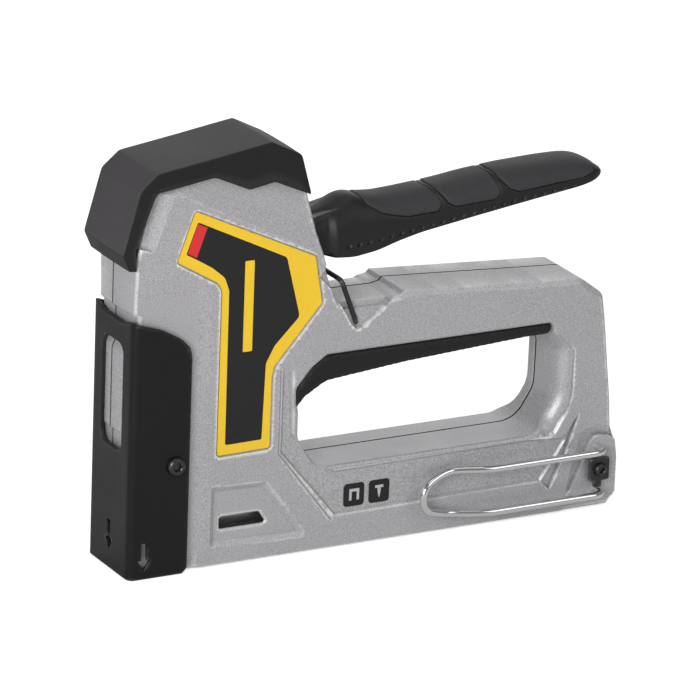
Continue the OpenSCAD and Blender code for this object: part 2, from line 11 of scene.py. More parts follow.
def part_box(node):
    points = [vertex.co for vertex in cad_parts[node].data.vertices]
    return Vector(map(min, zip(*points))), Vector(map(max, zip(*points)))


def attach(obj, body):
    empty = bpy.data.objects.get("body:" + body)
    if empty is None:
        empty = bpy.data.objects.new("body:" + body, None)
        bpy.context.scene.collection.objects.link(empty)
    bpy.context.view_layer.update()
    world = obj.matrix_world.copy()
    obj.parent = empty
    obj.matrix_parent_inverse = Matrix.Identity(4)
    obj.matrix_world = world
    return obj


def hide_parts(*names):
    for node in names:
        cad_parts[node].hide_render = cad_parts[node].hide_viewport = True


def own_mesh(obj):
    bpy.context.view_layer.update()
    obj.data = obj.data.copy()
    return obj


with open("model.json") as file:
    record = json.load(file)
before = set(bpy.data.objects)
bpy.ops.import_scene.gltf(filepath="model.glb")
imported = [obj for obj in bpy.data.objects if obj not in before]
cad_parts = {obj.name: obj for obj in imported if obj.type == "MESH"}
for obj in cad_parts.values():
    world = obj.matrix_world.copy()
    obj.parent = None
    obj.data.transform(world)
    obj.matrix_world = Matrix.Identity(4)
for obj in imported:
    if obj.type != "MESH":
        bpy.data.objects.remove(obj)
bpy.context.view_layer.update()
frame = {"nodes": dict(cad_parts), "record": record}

MM = 0.001


def extent(node):
    """Lowest and highest corner of a CAD node, in millimetres."""
    low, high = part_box(node)
    return np.array(low) / MM, np.array(high) / MM


# ---------------------------------------------------------------- sizes, in millimetres
LEFT_LOW, LEFT_HIGH = extent("left_housing")
RIGHT_LOW, RIGHT_HIGH = extent("right_cover")
COVER_HIGH = extent("nose_cover")[1]
PARTING = float(RIGHT_LOW[1])            # where the two castings meet
FOOT = float(LEFT_LOW[2])                # underside of the castings
TAIL = float(RIGHT_HIGH[0])              # rear face of the tail boss
HEAD_TOP = float(LEFT_HIGH[2])
COVER_HALF = float(COVER_HIGH[1])
COVER_DEPTH = float(COVER_HIGH[0])
COVER_TOP = float(COVER_HIGH[2])
SHEET = 1.7                              # sheet of the nose cover
HALF = 15.7                              # half of the castings' width
WALL = 2.4                               # wall of the castings
INNER = HALF - WALL
TUNNEL = 7.6                             # half of the magazine tunnel's width
TUNNEL_TOP = 17.6
BOSS_RISE = 1.6                          # how far the tail bosses stand proud
POCKET = 1.0                             # depth of the label's pocket

# ---------------------------------------------------------------- plane geometry


def rounded(corners, step=14.0):
    """Outline through corners (x, z, r): each corner becomes an arc of radius r that touches both
    of its sides, with a point every `step` degrees."""
    out = []
    for i, (x, z, r) in enumerate(corners):
        p = np.array([x, z], float)
        a = np.array(corners[i - 1][:2], float) - p
        b = np.array(corners[(i + 1) % len(corners)][:2], float) - p
        la, lb = np.linalg.norm(a), np.linalg.norm(b)
        a, b = a / la, b / lb
        half = 0.5 * math.acos(float(np.clip(a @ b, -1, 1)))
        if r <= 0.02 or half > 1.55:
            out.append(p)
            continue
        tangent = min(r / math.tan(half), 0.48 * min(la, lb))
        r = tangent * math.tan(half)
        middle = p + (a + b) / np.linalg.norm(a + b) * r / math.sin(half)
        s, e = p + a * tangent - middle, p + b * tangent - middle
        first = math.atan2(s[1], s[0])
        turn = (math.atan2(e[1], e[0]) - first + math.pi) % (2 * math.pi) - math.pi
        count = max(2, math.ceil(abs(math.degrees(turn)) / step))
        angles = first + turn * np.linspace(0, 1, count + 1)
        out.extend(middle + r * np.stack([np.cos(angles), np.sin(angles)], 1))
    return np.array(out)


def sharp(corners):
    """Outline with plain corners."""
    return np.array(corners, float)


def circle(x, z, r, count=28):
    """Points evenly spaced round a circle."""
    t = np.linspace(0, 2 * math.pi, count, endpoint=False)
    return np.stack([x + r * np.cos(t), z + r * np.sin(t)], 1)


def unit(rows):
    """Rows brought to length 1."""
    return rows / np.maximum(np.linalg.norm(rows, axis=1, keepdims=True), 1e-9)


def densify(loop, step, closed=True):
    """The same line with every side cut into equal lengths no longer than step."""
    ends = np.roll(loop, -1, 0) if closed else loop[1:]
    out = []
    for a, b in zip(loop, ends):
        count = max(1, math.ceil(np.linalg.norm(b - a) / step))
        out.append(a + (b - a) * (np.arange(count) / count)[:, None])
    if not closed:
        out.append(loop[-1:])
    return np.concatenate(out)


def distance(points, line, closed=True):
    """Distance from each point to a line."""
    a = line if closed else line[:-1]
    b = np.roll(line, -1, 0) if closed else line[1:]
    best = np.full(len(points), 1e9)
    for p, q in zip(a, b):
        side = q - p
        t = np.clip(((points - p) @ side) / max(side @ side, 1e-12), 0, 1)
        best = np.minimum(best, np.hypot(*(points - p - t[:, None] * side).T))
    return best


def inside(points, loop):
    """True for points inside a closed outline, by counting how often a ray to +x crosses it."""
    x, z = points.T
    result = np.zeros(len(points), bool)
    for a, b in zip(loop, np.roll(loop, -1, 0)):
        crosses = (a[1] > z) != (b[1] > z)
        rise = b[1] - a[1] if abs(b[1] - a[1]) > 1e-12 else 1e-12
        result ^= crosses & (x < (b[0] - a[0]) * (z - a[1]) / rise + a[0])
    return result


def depth_in(points, loop):
    """Signed distance to a closed outline, positive inside it."""
    d = distance(points, loop)
    return np.where(inside(points, loop), d, -d)


def area(loop):
    """Signed area of a closed outline, positive when it runs anticlockwise."""
    x, z = loop.T
    return 0.5 * float(np.sum(x * np.roll(z, -1) - np.roll(x, -1) * z))


def inset(loop, amount, closed=True):
    """Line moved to its inner side (left, when open) along the mitre at each of its points, by
    one amount or by one for each point."""
    sign = 1.0 if not closed or area(loop) > 0 else -1.0
    before, after = loop - np.roll(loop, 1, 0), np.roll(loop, -1, 0) - loop
    if not closed:
        before[0], after[-1] = after[0], before[-1]
    before, after = unit(before), unit(after)
    n = np.stack([-before[:, 1], before[:, 0]], 1) + np.stack([-after[:, 1], after[:, 0]], 1)
    n *= sign
    scale = 2.0 / np.maximum((n ** 2).sum(1, keepdims=True), 1.0)
    return loop + n * scale * np.broadcast_to(amount, len(loop))[:, None]


def offsets(line, amounts, closed=True):
    """Copies of a line moved inwards by each amount, as the pairs (line, closed) that
    triangulate takes."""
    return [(inset(line, amount, closed), closed) for amount in amounts]


def ramp(d, width=1.0):
    """0 where d is negative, rising in a straight line to 1 at width."""
    return np.clip(d / width, 0, 1)


def soft(d, width=1.0):
    """0 where d is negative, rising in an S-shaped curve to 1 at width."""
    t = ramp(d, width)
    return t * t * (3 - 2 * t)


def densify_edges(points, edges, step):
    """Points along each edge, no further apart than step."""
    a, b = points[[e[0] for e in edges]], points[[e[1] for e in edges]]
    count = max(2, math.ceil(float(np.linalg.norm(b - a, axis=1).max()) / step) + 1)
    t = np.linspace(0, 1, count)[None, :, None]
    return (a[:, None] + (b - a)[:, None] * t).reshape(-1, 2)


def triangulate(outline, holes, lines, spacing):
    """Triangles that fill an outline less its holes, with an edge along each (line, closed) and
    points on a staggered grid in between. Returns points (n, 2) and triangles (m, 3)."""
    def filled(p):
        return inside(p, outline) & ~np.any([inside(p, hole) for hole in holes], axis=0)

    points, edges = [], []
    for line, closed in [(outline, True), *[(h, True) for h in holes], *lines]:
        line = densify(np.asarray(line, float), spacing, closed)
        first, count = len(points), len(line)
        points.extend(line)
        edges += [(first + i, first + i + 1) for i in range(count - 1)]
        if closed:
            edges.append((first + count - 1, first))
    points = np.array(points)
    low, high = outline.min(0), outline.max(0)
    gx, gz = np.meshgrid(np.arange(low[0], high[0], spacing),
                         np.arange(low[1], high[1], spacing * 0.87))
    gx[1::2] += spacing / 2
    grid = np.stack([gx.ravel(), gz.ravel()], 1)
    grid = grid[filled(grid)]
    # grid points that crowd a line are dropped: both are binned into cells of 0.6 spacing
    cell = 0.6 * spacing
    taken = np.unique(np.round(densify_edges(points, edges, cell) / cell).astype(int), axis=0)
    keys = {tuple(k) for k in taken}
    cells = np.round(grid / cell).astype(int)
    grid = grid[[tuple(c) not in keys for c in cells.tolist()]]
    everything = [Vector(p) for p in np.concatenate([points, grid])]
    verts, _, faces, *_ = delaunay_2d_cdt(everything, edges, [], 0, 1e-4)
    verts = np.array([tuple(v) for v in verts])
    tris = np.array([f for f in faces if len(f) == 3])
    tris = tris[filled(verts[tris].mean(1))]
    corner = verts[tris]
    ab, ac = corner[:, 1] - corner[:, 0], corner[:, 2] - corner[:, 0]
    turn = ab[:, 0] * ac[:, 1] - ab[:, 1] * ac[:, 0]
    solid = np.abs(turn) > 1e-9
    tris, turn = tris[solid], turn[solid]
    tris[turn < 0] = tris[turn < 0][:, ::-1]
    used, tris = np.unique(tris, return_inverse=True)
    return verts[used], tris.reshape(-1, 3)


# ---------------------------------------------------------------- meshes and pieces


def make_mesh(name, points, faces, smooth_angle):
    """Closed mesh from points in millimetres with its faces outwards: if the signed volume is
    negative they are all turned. Edges sharper than smooth_angle stay crisp. The attribute
    `crest` is how far each point stands out of the mean of its neighbours, per unit of edge."""
    points = np.asarray(points, float)
    fans = np.array([(f[0], f[i], f[i + 1]) for f in faces for i in range(1, len(f) - 1)])
    a, b, c = points[fans[:, 0]], points[fans[:, 1]], points[fans[:, 2]]
    if float((a * np.cross(b, c)).sum()) < 0:
        faces = [f[::-1] for f in faces]
        fans = fans[:, ::-1]
    mesh = bpy.data.meshes.new(name)
    mesh.from_pydata((points * MM).tolist(), [], [list(f) for f in faces])
    mesh.validate()
    mesh.polygons.foreach_set("use_smooth", np.ones(len(mesh.polygons), bool))
    mesh.set_sharp_from_angle(angle=math.radians(smooth_angle))
    mesh.update()
    if len(mesh.vertices) == len(points):
        crest = mesh.attributes.new("crest", "FLOAT", "POINT")
        crest.data.foreach_set("value", convexity(points, fans).astype(np.float32))
    return mesh


def convexity(points, tris):
    """For each point: its height over the mean of its neighbours along the outward normal, over
    the mean length of its edges. It is positive on crests and negative in corners."""
    a, b, c = points[tris[:, 0]], points[tris[:, 1]], points[tris[:, 2]]
    face_normal = np.cross(b - a, c - a)
    normal = np.zeros_like(points)
    total = np.zeros_like(points)
    length = np.zeros(len(points))
    for i in range(3):
        np.add.at(normal, tris[:, i], face_normal)
        for j in ((i + 1) % 3, (i + 2) % 3):
            step = points[tris[:, j]] - points[tris[:, i]]
            np.add.at(total, tris[:, i], step)
            np.add.at(length, tris[:, i], np.linalg.norm(step, axis=1))
    return -(total * unit(normal)).sum(1) / np.maximum(length, 1e-9)


def add_object(name, data):
    """New object of the scene, with its data."""
    item = bpy.data.objects.new(name, data)
    bpy.context.scene.collection.objects.link(item)
    return item


def add_piece(name, points, faces, body, slot, material, replaces, smooth_angle):
    """A new object from points in millimetres, which rides on a body and replaces CAD nodes."""
    mesh = make_mesh(name, points, faces, smooth_angle)
    piece = add_object(name, mesh)
    mesh.materials.append(material)
    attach(piece, body)
    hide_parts(*replaces)
    return piece


def second_material(piece, material, faces):
    """Gives a piece one more material, on the faces where the mask is true."""
    piece.data.materials.append(material)
    piece.data.polygons.foreach_set("material_index", faces.astype(np.int32))


def face_rows(piece):
    """Centres, in millimetres, and normals of a piece's faces."""
    rows = np.empty((2, 3 * len(piece.data.polygons)))
    piece.data.polygons.foreach_get("center", rows[0])
    piece.data.polygons.foreach_get("normal", rows[1])
    return rows[0].reshape(-1, 3) / MM, rows[1].reshape(-1, 3)


def shell(points, tris, outer, inner, lip_out=0.0, lip_in=0.0):
    """Closed solid between two surfaces over the same triangles. outer and inner turn points of
    the plane into space, a wall joins the two along the open edges, and each lip is the width of
    a chamfer where that wall meets its surface."""
    edges = tris[:, [0, 1, 1, 2, 2, 0]].reshape(-1, 2)
    _, where, count = np.unique(np.sort(edges, 1), axis=0, return_inverse=True, return_counts=True)
    rim = edges[count[where.ravel()] == 1]
    rim_points = np.unique(rim)
    slot = np.full(len(points), -1)
    slot[rim_points] = np.arange(len(rim_points))
    direction = points[rim[:, 1]] - points[rim[:, 0]]
    left = unit(np.stack([-direction[:, 1], direction[:, 0]], 1))
    inward = np.zeros((len(points), 2))
    np.add.at(inward, rim[:, 0], left)
    np.add.at(inward, rim[:, 1], left)
    inward = unit(inward)
    across = unit(inner(points[rim_points]) - outer(points[rim_points]))
    levels = [outer(points + inward * lip_out)]
    index = [np.arange(len(points))]
    start = len(points)
    for ring, lip in ((outer(points[rim_points]) + across * lip_out, lip_out),
                      (inner(points[rim_points]) - across * lip_in, lip_in)):
        if lip:
            levels.append(ring)
            index.append(start + slot)
            start += len(rim_points)
    levels.append(inner(points + inward * lip_in))
    index.append(start + np.arange(len(points)))
    p, q = rim[:, 0], rim[:, 1]
    walls = [np.stack([upper[q], upper[p], lower[p], lower[q]], 1)
             for upper, lower in zip(index[:-1], index[1:])]
    faces = [*tris.tolist(), *(tris[:, ::-1] + start).tolist(), *np.concatenate(walls).tolist()]
    return np.concatenate(levels), faces


def at_y(y):
    """Surface over side-view points (x, z), at a y that is one number or a function of them."""
    def place(p):
        return np.stack([p[:, 0], y(p) if callable(y) else np.full(len(p), float(y)), p[:, 1]], 1)
    return place


def lofted(rings):
    """Closed surface through rings (rows, columns, 3), with a flat face at each end."""
    rows, columns = rings.shape[:2]
    r, c = np.meshgrid(np.arange(rows - 1) * columns, np.arange(columns), indexing="ij")
    d = (c + 1) % columns
    quads = np.stack([r + c, r + d, r + columns + d, r + columns + c], -1)
    faces = quads.reshape(-1, 4).tolist()
    faces.append(list(range(columns))[::-1])
    faces.append([(rows - 1) * columns + i for i in range(columns)])
    return rings.reshape(-1, 3), faces


def tube(route, radius, sides=16):
    """Round wire along a route: a ring of `sides` points about each point of the route, in the
    plane across the travel, carried along without twist. The radius is one number or an array."""
    route = np.asarray(route, float)
    d = unit(np.gradient(route, axis=0))
    u = np.cross(d[0], [0.0, 0.0, 1.0])
    if np.linalg.norm(u) < 0.1:
        u = np.cross(d[0], [1.0, 0.0, 0.0])
    us = []
    for direction in d:
        u = u - direction * (u @ direction)
        u /= np.linalg.norm(u)
        us.append(u)
    us = np.array(us)
    vs = np.cross(d, us)
    t = np.linspace(0, 2 * math.pi, sides, endpoint=False)[None, :, None]
    radii = np.broadcast_to(radius, len(route))[:, None, None]
    return lofted(route[:, None] + radii * (np.cos(t) * us[:, None] + np.sin(t) * vs[:, None]))


def bent(corners, radius, step=4.0):
    """Route through corners in which each inner corner is a quadratic bend that starts radius
    away from it, and straights are cut about every step."""
    corners = np.asarray(corners, float)
    stops = [corners[:1]]
    t = np.linspace(0, 1, 11)[:, None]
    for before, p, after in zip(corners[:-2], corners[1:-1], corners[2:]):
        a, b = before - p, after - p
        la, lb = np.linalg.norm(a), np.linalg.norm(b)
        a, b = p + a / la * min(radius, 0.49 * la), p + b / lb * min(radius, 0.49 * lb)
        stops.append(a * (1 - t) ** 2 + 2 * p * t * (1 - t) + b * t ** 2)
    stops.append(corners[-1:])
    route = np.concatenate(stops)
    gaps = np.linalg.norm(np.diff(route, axis=0), axis=1)
    out = [route[:1]]
    for a, b, gap in zip(route[:-1], route[1:], gaps):
        if gap > 1e-6:
            count = max(1, math.ceil(gap / step))
            out.append(a + (b - a) * (np.arange(1, count + 1) / count)[:, None])
    return np.concatenate(out)


def helix(centre, axis, radius, length, turns, steps):
    """Route of a coil: points at radius about a line through centre along +x, +y or +z, steps to
    a turn, which move evenly along it, with three quarters of a turn closed up at each end."""
    count = int(turns * steps) + 1
    t = np.linspace(0, turns, count)
    closed = 0.75
    rise = np.clip((t - closed) / (turns - 2 * closed), 0, 1) * length
    ring = np.stack([radius * np.cos(2 * math.pi * t), radius * np.sin(2 * math.pi * t)], 1)
    out = np.empty((count, 3))
    others = [i for i in range(3) if i != axis]
    out[:, others[0]], out[:, others[1]] = ring.T
    out[:, axis] = rise
    return out + np.asarray(centre, float)


def turned(profile, centre, side):
    """Round piece about a line across the tool: profile is (radius, height) from its foot to the
    middle of its face, which looks to side, -1 or +1. Where the height falls after the rim, the
    radius is that of a socket with six lobes."""
    profile = np.asarray(profile, float)
    t = np.linspace(0, 2 * math.pi, 48, endpoint=False)[None, :]
    fallen = np.maximum.accumulate(profile[:, 1]) > profile[:, 1] + 1e-6
    r = profile[:, :1] * (1 + 0.11 * np.cos(6 * t) * fallen[:, None])
    x = centre[0] + r * np.cos(t)
    z = centre[2] + r * np.sin(t)
    y = centre[1] + side * np.broadcast_to(profile[:, 1:], r.shape)
    return lofted(np.stack([x, y, z], -1))


def joined(*solids):
    """Several (points, faces) as one."""
    points, faces, start = [], [], 0
    for p, f in solids:
        points.append(np.asarray(p))
        faces += [[i + start for i in face] for face in f]
        start += len(p)
    return np.concatenate(points), faces


# ---------------------------------------------------------------- shared shader effects
def new_group(name, inputs, outputs):
    """Shader node group with its sockets: inputs are (name, kind, value), outputs (name, kind)."""
    tree = bpy.data.node_groups.new(name, "ShaderNodeTree")
    for label, kind, value in inputs:
        socket = tree.interface.new_socket(name=label, in_out="INPUT", socket_type=kind)
        socket.default_value = value
    for label, kind in outputs:
        tree.interface.new_socket(name=label, in_out="OUTPUT", socket_type=kind)
    return tree, tree.nodes.new("NodeGroupInput").outputs, tree.nodes.new("NodeGroupOutput").inputs


def put(tree, kind, inputs=None, **settings):
    """Adds a shader node. Each input is a value or the socket that feeds it."""
    node = tree.nodes.new("ShaderNode" + kind)
    for key, value in settings.items():
        setattr(node, key, value)
    for key, value in (inputs or {}).items():
        if isinstance(value, bpy.types.NodeSocket):
            tree.links.new(value, node.inputs[key])
        else:
            node.inputs[key].default_value = value
    return node


def math_node(tree, operation, a, b, clamp=False):
    """One sum, from Blender's own list of operations."""
    return put(tree, "Math", {0: a, 1: b}, operation=operation, use_clamp=clamp).outputs[0]


def remap(tree, value, low, high, to_low=0.0, to_high=1.0):
    """Value taken in a straight line from low..high to to_low..to_high, held at both ends."""
    return put(tree, "MapRange", {"Value": value, "From Min": low, "From Max": high,
                                  "To Min": to_low, "To Max": to_high}).outputs[0]


def swing(tree, value, amount):
    """Noise spread evenly about 0, times an amount."""
    return math_node(tree, "MULTIPLY", remap(tree, value, 0.3, 0.7, -1.0, 1.0), amount)


def mix_colour(tree, factor, a, b, blend="MIX"):
    """Two colours mixed by a factor. Sockets 6 and 7 are the node's two colours."""
    return put(tree, "Mix", {0: factor, 6: a, 7: b}, data_type="RGBA", blend_type=blend).outputs[2]


def noise(tree, scale, detail=2.0, rough=0.5, stretch=None):
    """Noise over Object coordinates, scale in features per metre."""
    place = put(tree, "TexCoord").outputs["Object"]
    if stretch:
        place = put(tree, "Mapping", {"Vector": place, "Scale": stretch}).outputs[0]
    return put(tree, "TexNoise", {"Vector": place, "Scale": scale, "Detail": detail,
                                  "Roughness": rough}).outputs["Fac"]


COLOUR, FLOAT = "NodeSocketColor", "NodeSocketFloat"


def grain_group():
    """Cast or moulded grain: fine noise at Size and a coarser one at a sixth of it. Light and dark
    points shift the colour by Fleck, and broad clouds by Cloud."""
    tree, given, out = new_group("surface_grain", [
        ("Colour", COLOUR, (0.5, 0.5, 0.5, 1)), ("Size", FLOAT, 2500.0), ("Fleck", FLOAT, 0.2),
        ("Cloud", FLOAT, 0.05), ("Roughness", FLOAT, 0.5), ("Spread", FLOAT, 0.1)],
        [("Colour", COLOUR), ("Roughness", FLOAT), ("Height", FLOAT)])
    fine = noise(tree, given["Size"], 1.0)
    coarse = noise(tree, math_node(tree, "DIVIDE", given["Size"], 6.0), 3.0)
    clouds = noise(tree, 28.0, 4.0, 0.6)
    fleck, cloud = swing(tree, fine, given["Fleck"]), swing(tree, clouds, given["Cloud"])
    gain = math_node(tree, "ADD", math_node(tree, "ADD", fleck, cloud), 1.0)
    tint = put(tree, "CombineColor", {0: gain, 1: gain, 2: gain}).outputs[0]
    tree.links.new(mix_colour(tree, 1.0, given["Colour"], tint, "MULTIPLY"), out["Colour"])
    vary = swing(tree, clouds, given["Spread"])
    tree.links.new(math_node(tree, "ADD", given["Roughness"], vary, True), out["Roughness"])
    both = math_node(tree, "ADD", math_node(tree, "MULTIPLY", fine, 0.5),
                     math_node(tree, "MULTIPLY", coarse, 0.7))
    tree.links.new(both, out["Height"])
    return tree


def wear_and_shading_group():
    """Crests, found from the mesh's own `crest` attribute and broken up by noise, take the
    WearAndHighlight colour by Amount (wear, and a painted highlight on the edges), corners take the
    DustAndShade colour by DustAndShadeAmount (dust, and painted shade where it is darker), and Mask
    gives the crests."""
    tree, given, out = new_group("edges_worn_lit_and_shaded", [
        ("Colour", COLOUR, (0.5, 0.5, 0.5, 1)), ("WearAndHighlight", COLOUR, (0.7, 0.7, 0.7, 1)),
        ("Amount", FLOAT, 0.5), ("DustAndShade", COLOUR, (0.3, 0.28, 0.25, 1)), ("DustAndShadeAmount", FLOAT, 0.2)],
        [("Colour", COLOUR), ("Mask", FLOAT)])
    crest = put(tree, "Attribute", attribute_name="crest").outputs["Fac"]
    breaks = remap(tree, noise(tree, 420.0, 4.0, 0.7), 0.2, 0.5)
    high = math_node(tree, "MULTIPLY", remap(tree, crest, 0.04, 0.3), breaks)
    wear_and_highlight = math_node(tree, "MULTIPLY", high, given["Amount"])
    low = math_node(tree, "MULTIPLY", remap(tree, crest, -0.03, -0.25), given["DustAndShadeAmount"])
    first = mix_colour(tree, wear_and_highlight, given["Colour"], given["WearAndHighlight"])
    tree.links.new(mix_colour(tree, low, first, given["DustAndShade"]), out["Colour"])
    tree.links.new(wear_and_highlight, out["Mask"])
    return tree


def drawn_group():
    """Drawn or ground metal: noise stretched along x gives fine lines in height and roughness,
    and broad spots take a dark tarnish."""
    tree, given, out = new_group("drawn_lines", [
        ("Roughness", FLOAT, 0.3), ("Spread", FLOAT, 0.1), ("Tarnish", FLOAT, 0.1),
        ("Colour", COLOUR, (0.6, 0.6, 0.6, 1))],
        [("Colour", COLOUR), ("Roughness", FLOAT), ("Height", FLOAT)])
    lines = noise(tree, 900.0, 3.0, 0.6, (0.08, 1.0, 1.0))
    spots = noise(tree, 160.0, 4.0, 0.65)
    vary = swing(tree, lines, given["Spread"])
    tree.links.new(math_node(tree, "ADD", given["Roughness"], vary, True), out["Roughness"])
    dark = math_node(tree, "MULTIPLY", remap(tree, spots, 0.5, 0.75), given["Tarnish"])
    tree.links.new(mix_colour(tree, dark, given["Colour"], (0.16, 0.14, 0.12, 1)), out["Colour"])
    tree.links.new(lines, out["Height"])
    return tree


GRAIN, WEAR_AND_SHADING, DRAWN = grain_group(), wear_and_shading_group(), drawn_group()


# ---------------------------------------------------------------- materials
def blank(name):
    """Material with its tree, its Principled shader and a function that places a group in it."""
    material = bpy.data.materials.new(name)
    material.use_nodes = True
    tree = material.node_tree
    shader = tree.nodes["Principled BSDF"]

    def place(group, **values):
        return put(tree, "Group", values, node_tree=group).outputs

    return material, tree, shader, place


def bump(tree, shader, height, strength, depth):
    """Feeds the shader's normal from a height of `depth` metres."""
    node = put(tree, "Bump", {"Height": height, "Strength": strength, "Distance": depth})
    tree.links.new(node.outputs[0], shader.inputs["Normal"])


def moulded(name, colour, rough, grain=(2200.0, 0.1, 0.08, 0.00006), wear_and_highlight=None, amount=0.4,
            dust_and_shade=0.25, specular=0.5, metal=0.0, strength=0.5):
    """Plastic, rubber, paint or cast metal with a fine grain, crests lightened for wear and as a
    painted highlight, and corners changed for dust and as painted shade.
    The grain is its size in features per metre, its flecks, its clouds and its depth in metres.
    Crests are
    1.8 times as bright where no colour is given for them, and corners 0.55 times: a painted shade
    where that is darker."""
    material, tree, shader, place = blank(name)
    wear_and_highlight = wear_and_highlight or [min(1.0, 1.8 * c) for c in colour]
    dust_and_shade_colour = [0.55 * c + 0.02 for c in colour]
    size, fleck, cloud, depth = grain
    grain = place(GRAIN, Colour=(*colour, 1), Size=size, Fleck=fleck, Cloud=cloud, Roughness=rough,
                  Spread=0.07)
    edge = place(WEAR_AND_SHADING, Colour=grain["Colour"], WearAndHighlight=(*wear_and_highlight, 1), Amount=amount, DustAndShade=(*dust_and_shade_colour, 1),
                 DustAndShadeAmount=dust_and_shade)
    tree.links.new(edge["Colour"], shader.inputs["Base Color"])
    tree.links.new(grain["Roughness"], shader.inputs["Roughness"])
    shader.inputs["Metallic"].default_value = metal
    shader.inputs["Specular IOR Level"].default_value = specular
    bump(tree, shader, grain["Height"], strength, depth)
    return material


def metal(name, colour, rough, tarnish=0.15, depth=0.00001, spread=0.08):
    """Bare metal with drawn lines and a little tarnish."""
    material, tree, shader, place = blank(name)
    drawn = place(DRAWN, Colour=(*colour, 1), Roughness=rough, Spread=spread, Tarnish=tarnish)
    tree.links.new(drawn["Colour"], shader.inputs["Base Color"])
    tree.links.new(drawn["Roughness"], shader.inputs["Roughness"])
    shader.inputs["Metallic"].default_value = 1.0
    bump(tree, shader, drawn["Height"], 0.35, depth)
    return material


LIGHT_RUB, DARK_RUB, STEEL_RUB = (0.05, 0.05, 0.052), (0.05, 0.05, 0.05), (0.2, 0.2, 0.2)
PRINT_DEPTH = 0.000008
# painted light: the lacquer's crests take a near-white colour at 0.9, edge wear and a painted
# highlight along the bevels; its corners darken by 0.45 as painted shade
PAINT = moulded("silver_lacquer", (0.47, 0.46, 0.475), 0.5, (2600.0, 0.3, 0.03, 0.00009),
                (0.95, 0.94, 0.94), 0.9, 0.45, metal=0.4, strength=0.6)
# painted shade: near black for the chamfer lips at the parting line, a painted shadow of the gap
SEAM_SHADOW = moulded("seam_shadow", (0.05, 0.047, 0.048), 0.7, dust_and_shade=0.0, specular=0.2)
CAP = moulded("cap_rubber", (0.010, 0.010, 0.0105), 0.5, (3000.0, 0.12, 0.12, 0.00006),
              DARK_RUB, 0.3, 0.0, 0.3)
# painted light: a lighter copy of the cap's black rubber, a painted highlight for the light that
# falls on the cap's top
CAP_LIT_TOP = moulded("cap_rubber_painted_lit_top", (0.062, 0.058, 0.062), 0.7, (3000.0, 0.12, 0.10, 0.00008),
                  (0.11, 0.11, 0.11), 0.3, 0.0, 0.35)
COVER = moulded("black_powder_coat", (0.007, 0.007, 0.0075), 0.4, (1500.0, 0.08, 0.1, 0.00003),
                (0.10, 0.10, 0.105), 0.55, 0.0, 0.24)
GRIP = moulded("grip_nylon", (0.011, 0.011, 0.0115), 0.46, (2400.0, 0.15, 0.1, 0.00007),
               LIGHT_RUB, 0.3, 0.0, 0.32)
PAD = moulded("soft_pad_rubber", (0.036, 0.034, 0.037), 0.6, (1800.0, 0.15, 0.12, 0.00009),
              (0.06, 0.06, 0.062), 0.3, 0.0, 0.35)
INSERT = moulded("insert_rubber", (0.008, 0.008, 0.0085), 0.5, (1800.0, 0.15, 0.12, 0.00009),
                 LIGHT_RUB, 0.3, 0.0, 0.32)
LATCH = moulded("latch_nylon", (0.05, 0.05, 0.052), 0.5, (2000.0, 0.1, 0.1, 0.00006))
BLACK_WIRE = moulded("black_phosphate", (0.012, 0.012, 0.012), 0.34, (1500.0, 0.15, 0.1, 0.00002),
                     STEEL_RUB, 0.5)
BLACK_STEEL = moulded("lever_steel_coat", (0.018, 0.018, 0.019), 0.4,
                      (1500.0, 0.1, 0.1, 0.00003), STEEL_RUB, 0.5)
YELLOW = moulded("label_yellow", (0.92, 0.60, 0.022), 0.33, (900.0, 0.015, 0.02, PRINT_DEPTH),
                 (0.95, 0.75, 0.25), 0.2, 0.1)
LABEL_BLACK = moulded("label_black", (0.014, 0.014, 0.015), 0.34, (900.0, 0.05, 0.06, PRINT_DEPTH),
                      (0.1, 0.1, 0.1), 0.2, 0.1, 0.3)
RED = moulded("label_red", (0.72, 0.022, 0.022), 0.33, (900.0, 0.015, 0.03, PRINT_DEPTH), dust_and_shade=0.1)
ICON_SILVER = moulded("icon_silver", (0.55, 0.55, 0.56), 0.4, (900.0, 0.03, 0.03, PRINT_DEPTH),
                      metal=0.3)
SCREW = metal("black_oxide", (0.07, 0.07, 0.072), 0.36, 0.2)
ZINC = metal("zinc_plate", (0.62, 0.62, 0.60), 0.3, 0.25)
SPRING = metal("spring_wire", (0.46, 0.46, 0.48), 0.28, 0.2)
CHROME = metal("chrome_wire", (0.74, 0.74, 0.75), 0.13, 0.05, 0.000004, 0.05)

FINISH = {"casting": PAINT, "cap_rubber": CAP, "black_steel": BLACK_STEEL, "dark_screw": SCREW,
          "zinc_steel": ZINC, "spring_steel": SPRING, "label": YELLOW, "icon_print": LABEL_BLACK,
          "grip_rubber": INSERT, "lever_plastic": GRIP, "latch_plastic": LATCH,
          "black_wire": BLACK_WIRE, "chrome_wire": CHROME}
SLOT_OF = {row["node"]: row["material_slot"] for row in frame["record"]["subparts"]}
for node, cad_object in frame["nodes"].items():
    cad_object.data.materials.clear()
    cad_object.data.materials.append(FINISH.get(SLOT_OF.get(node, ""), ZINC))


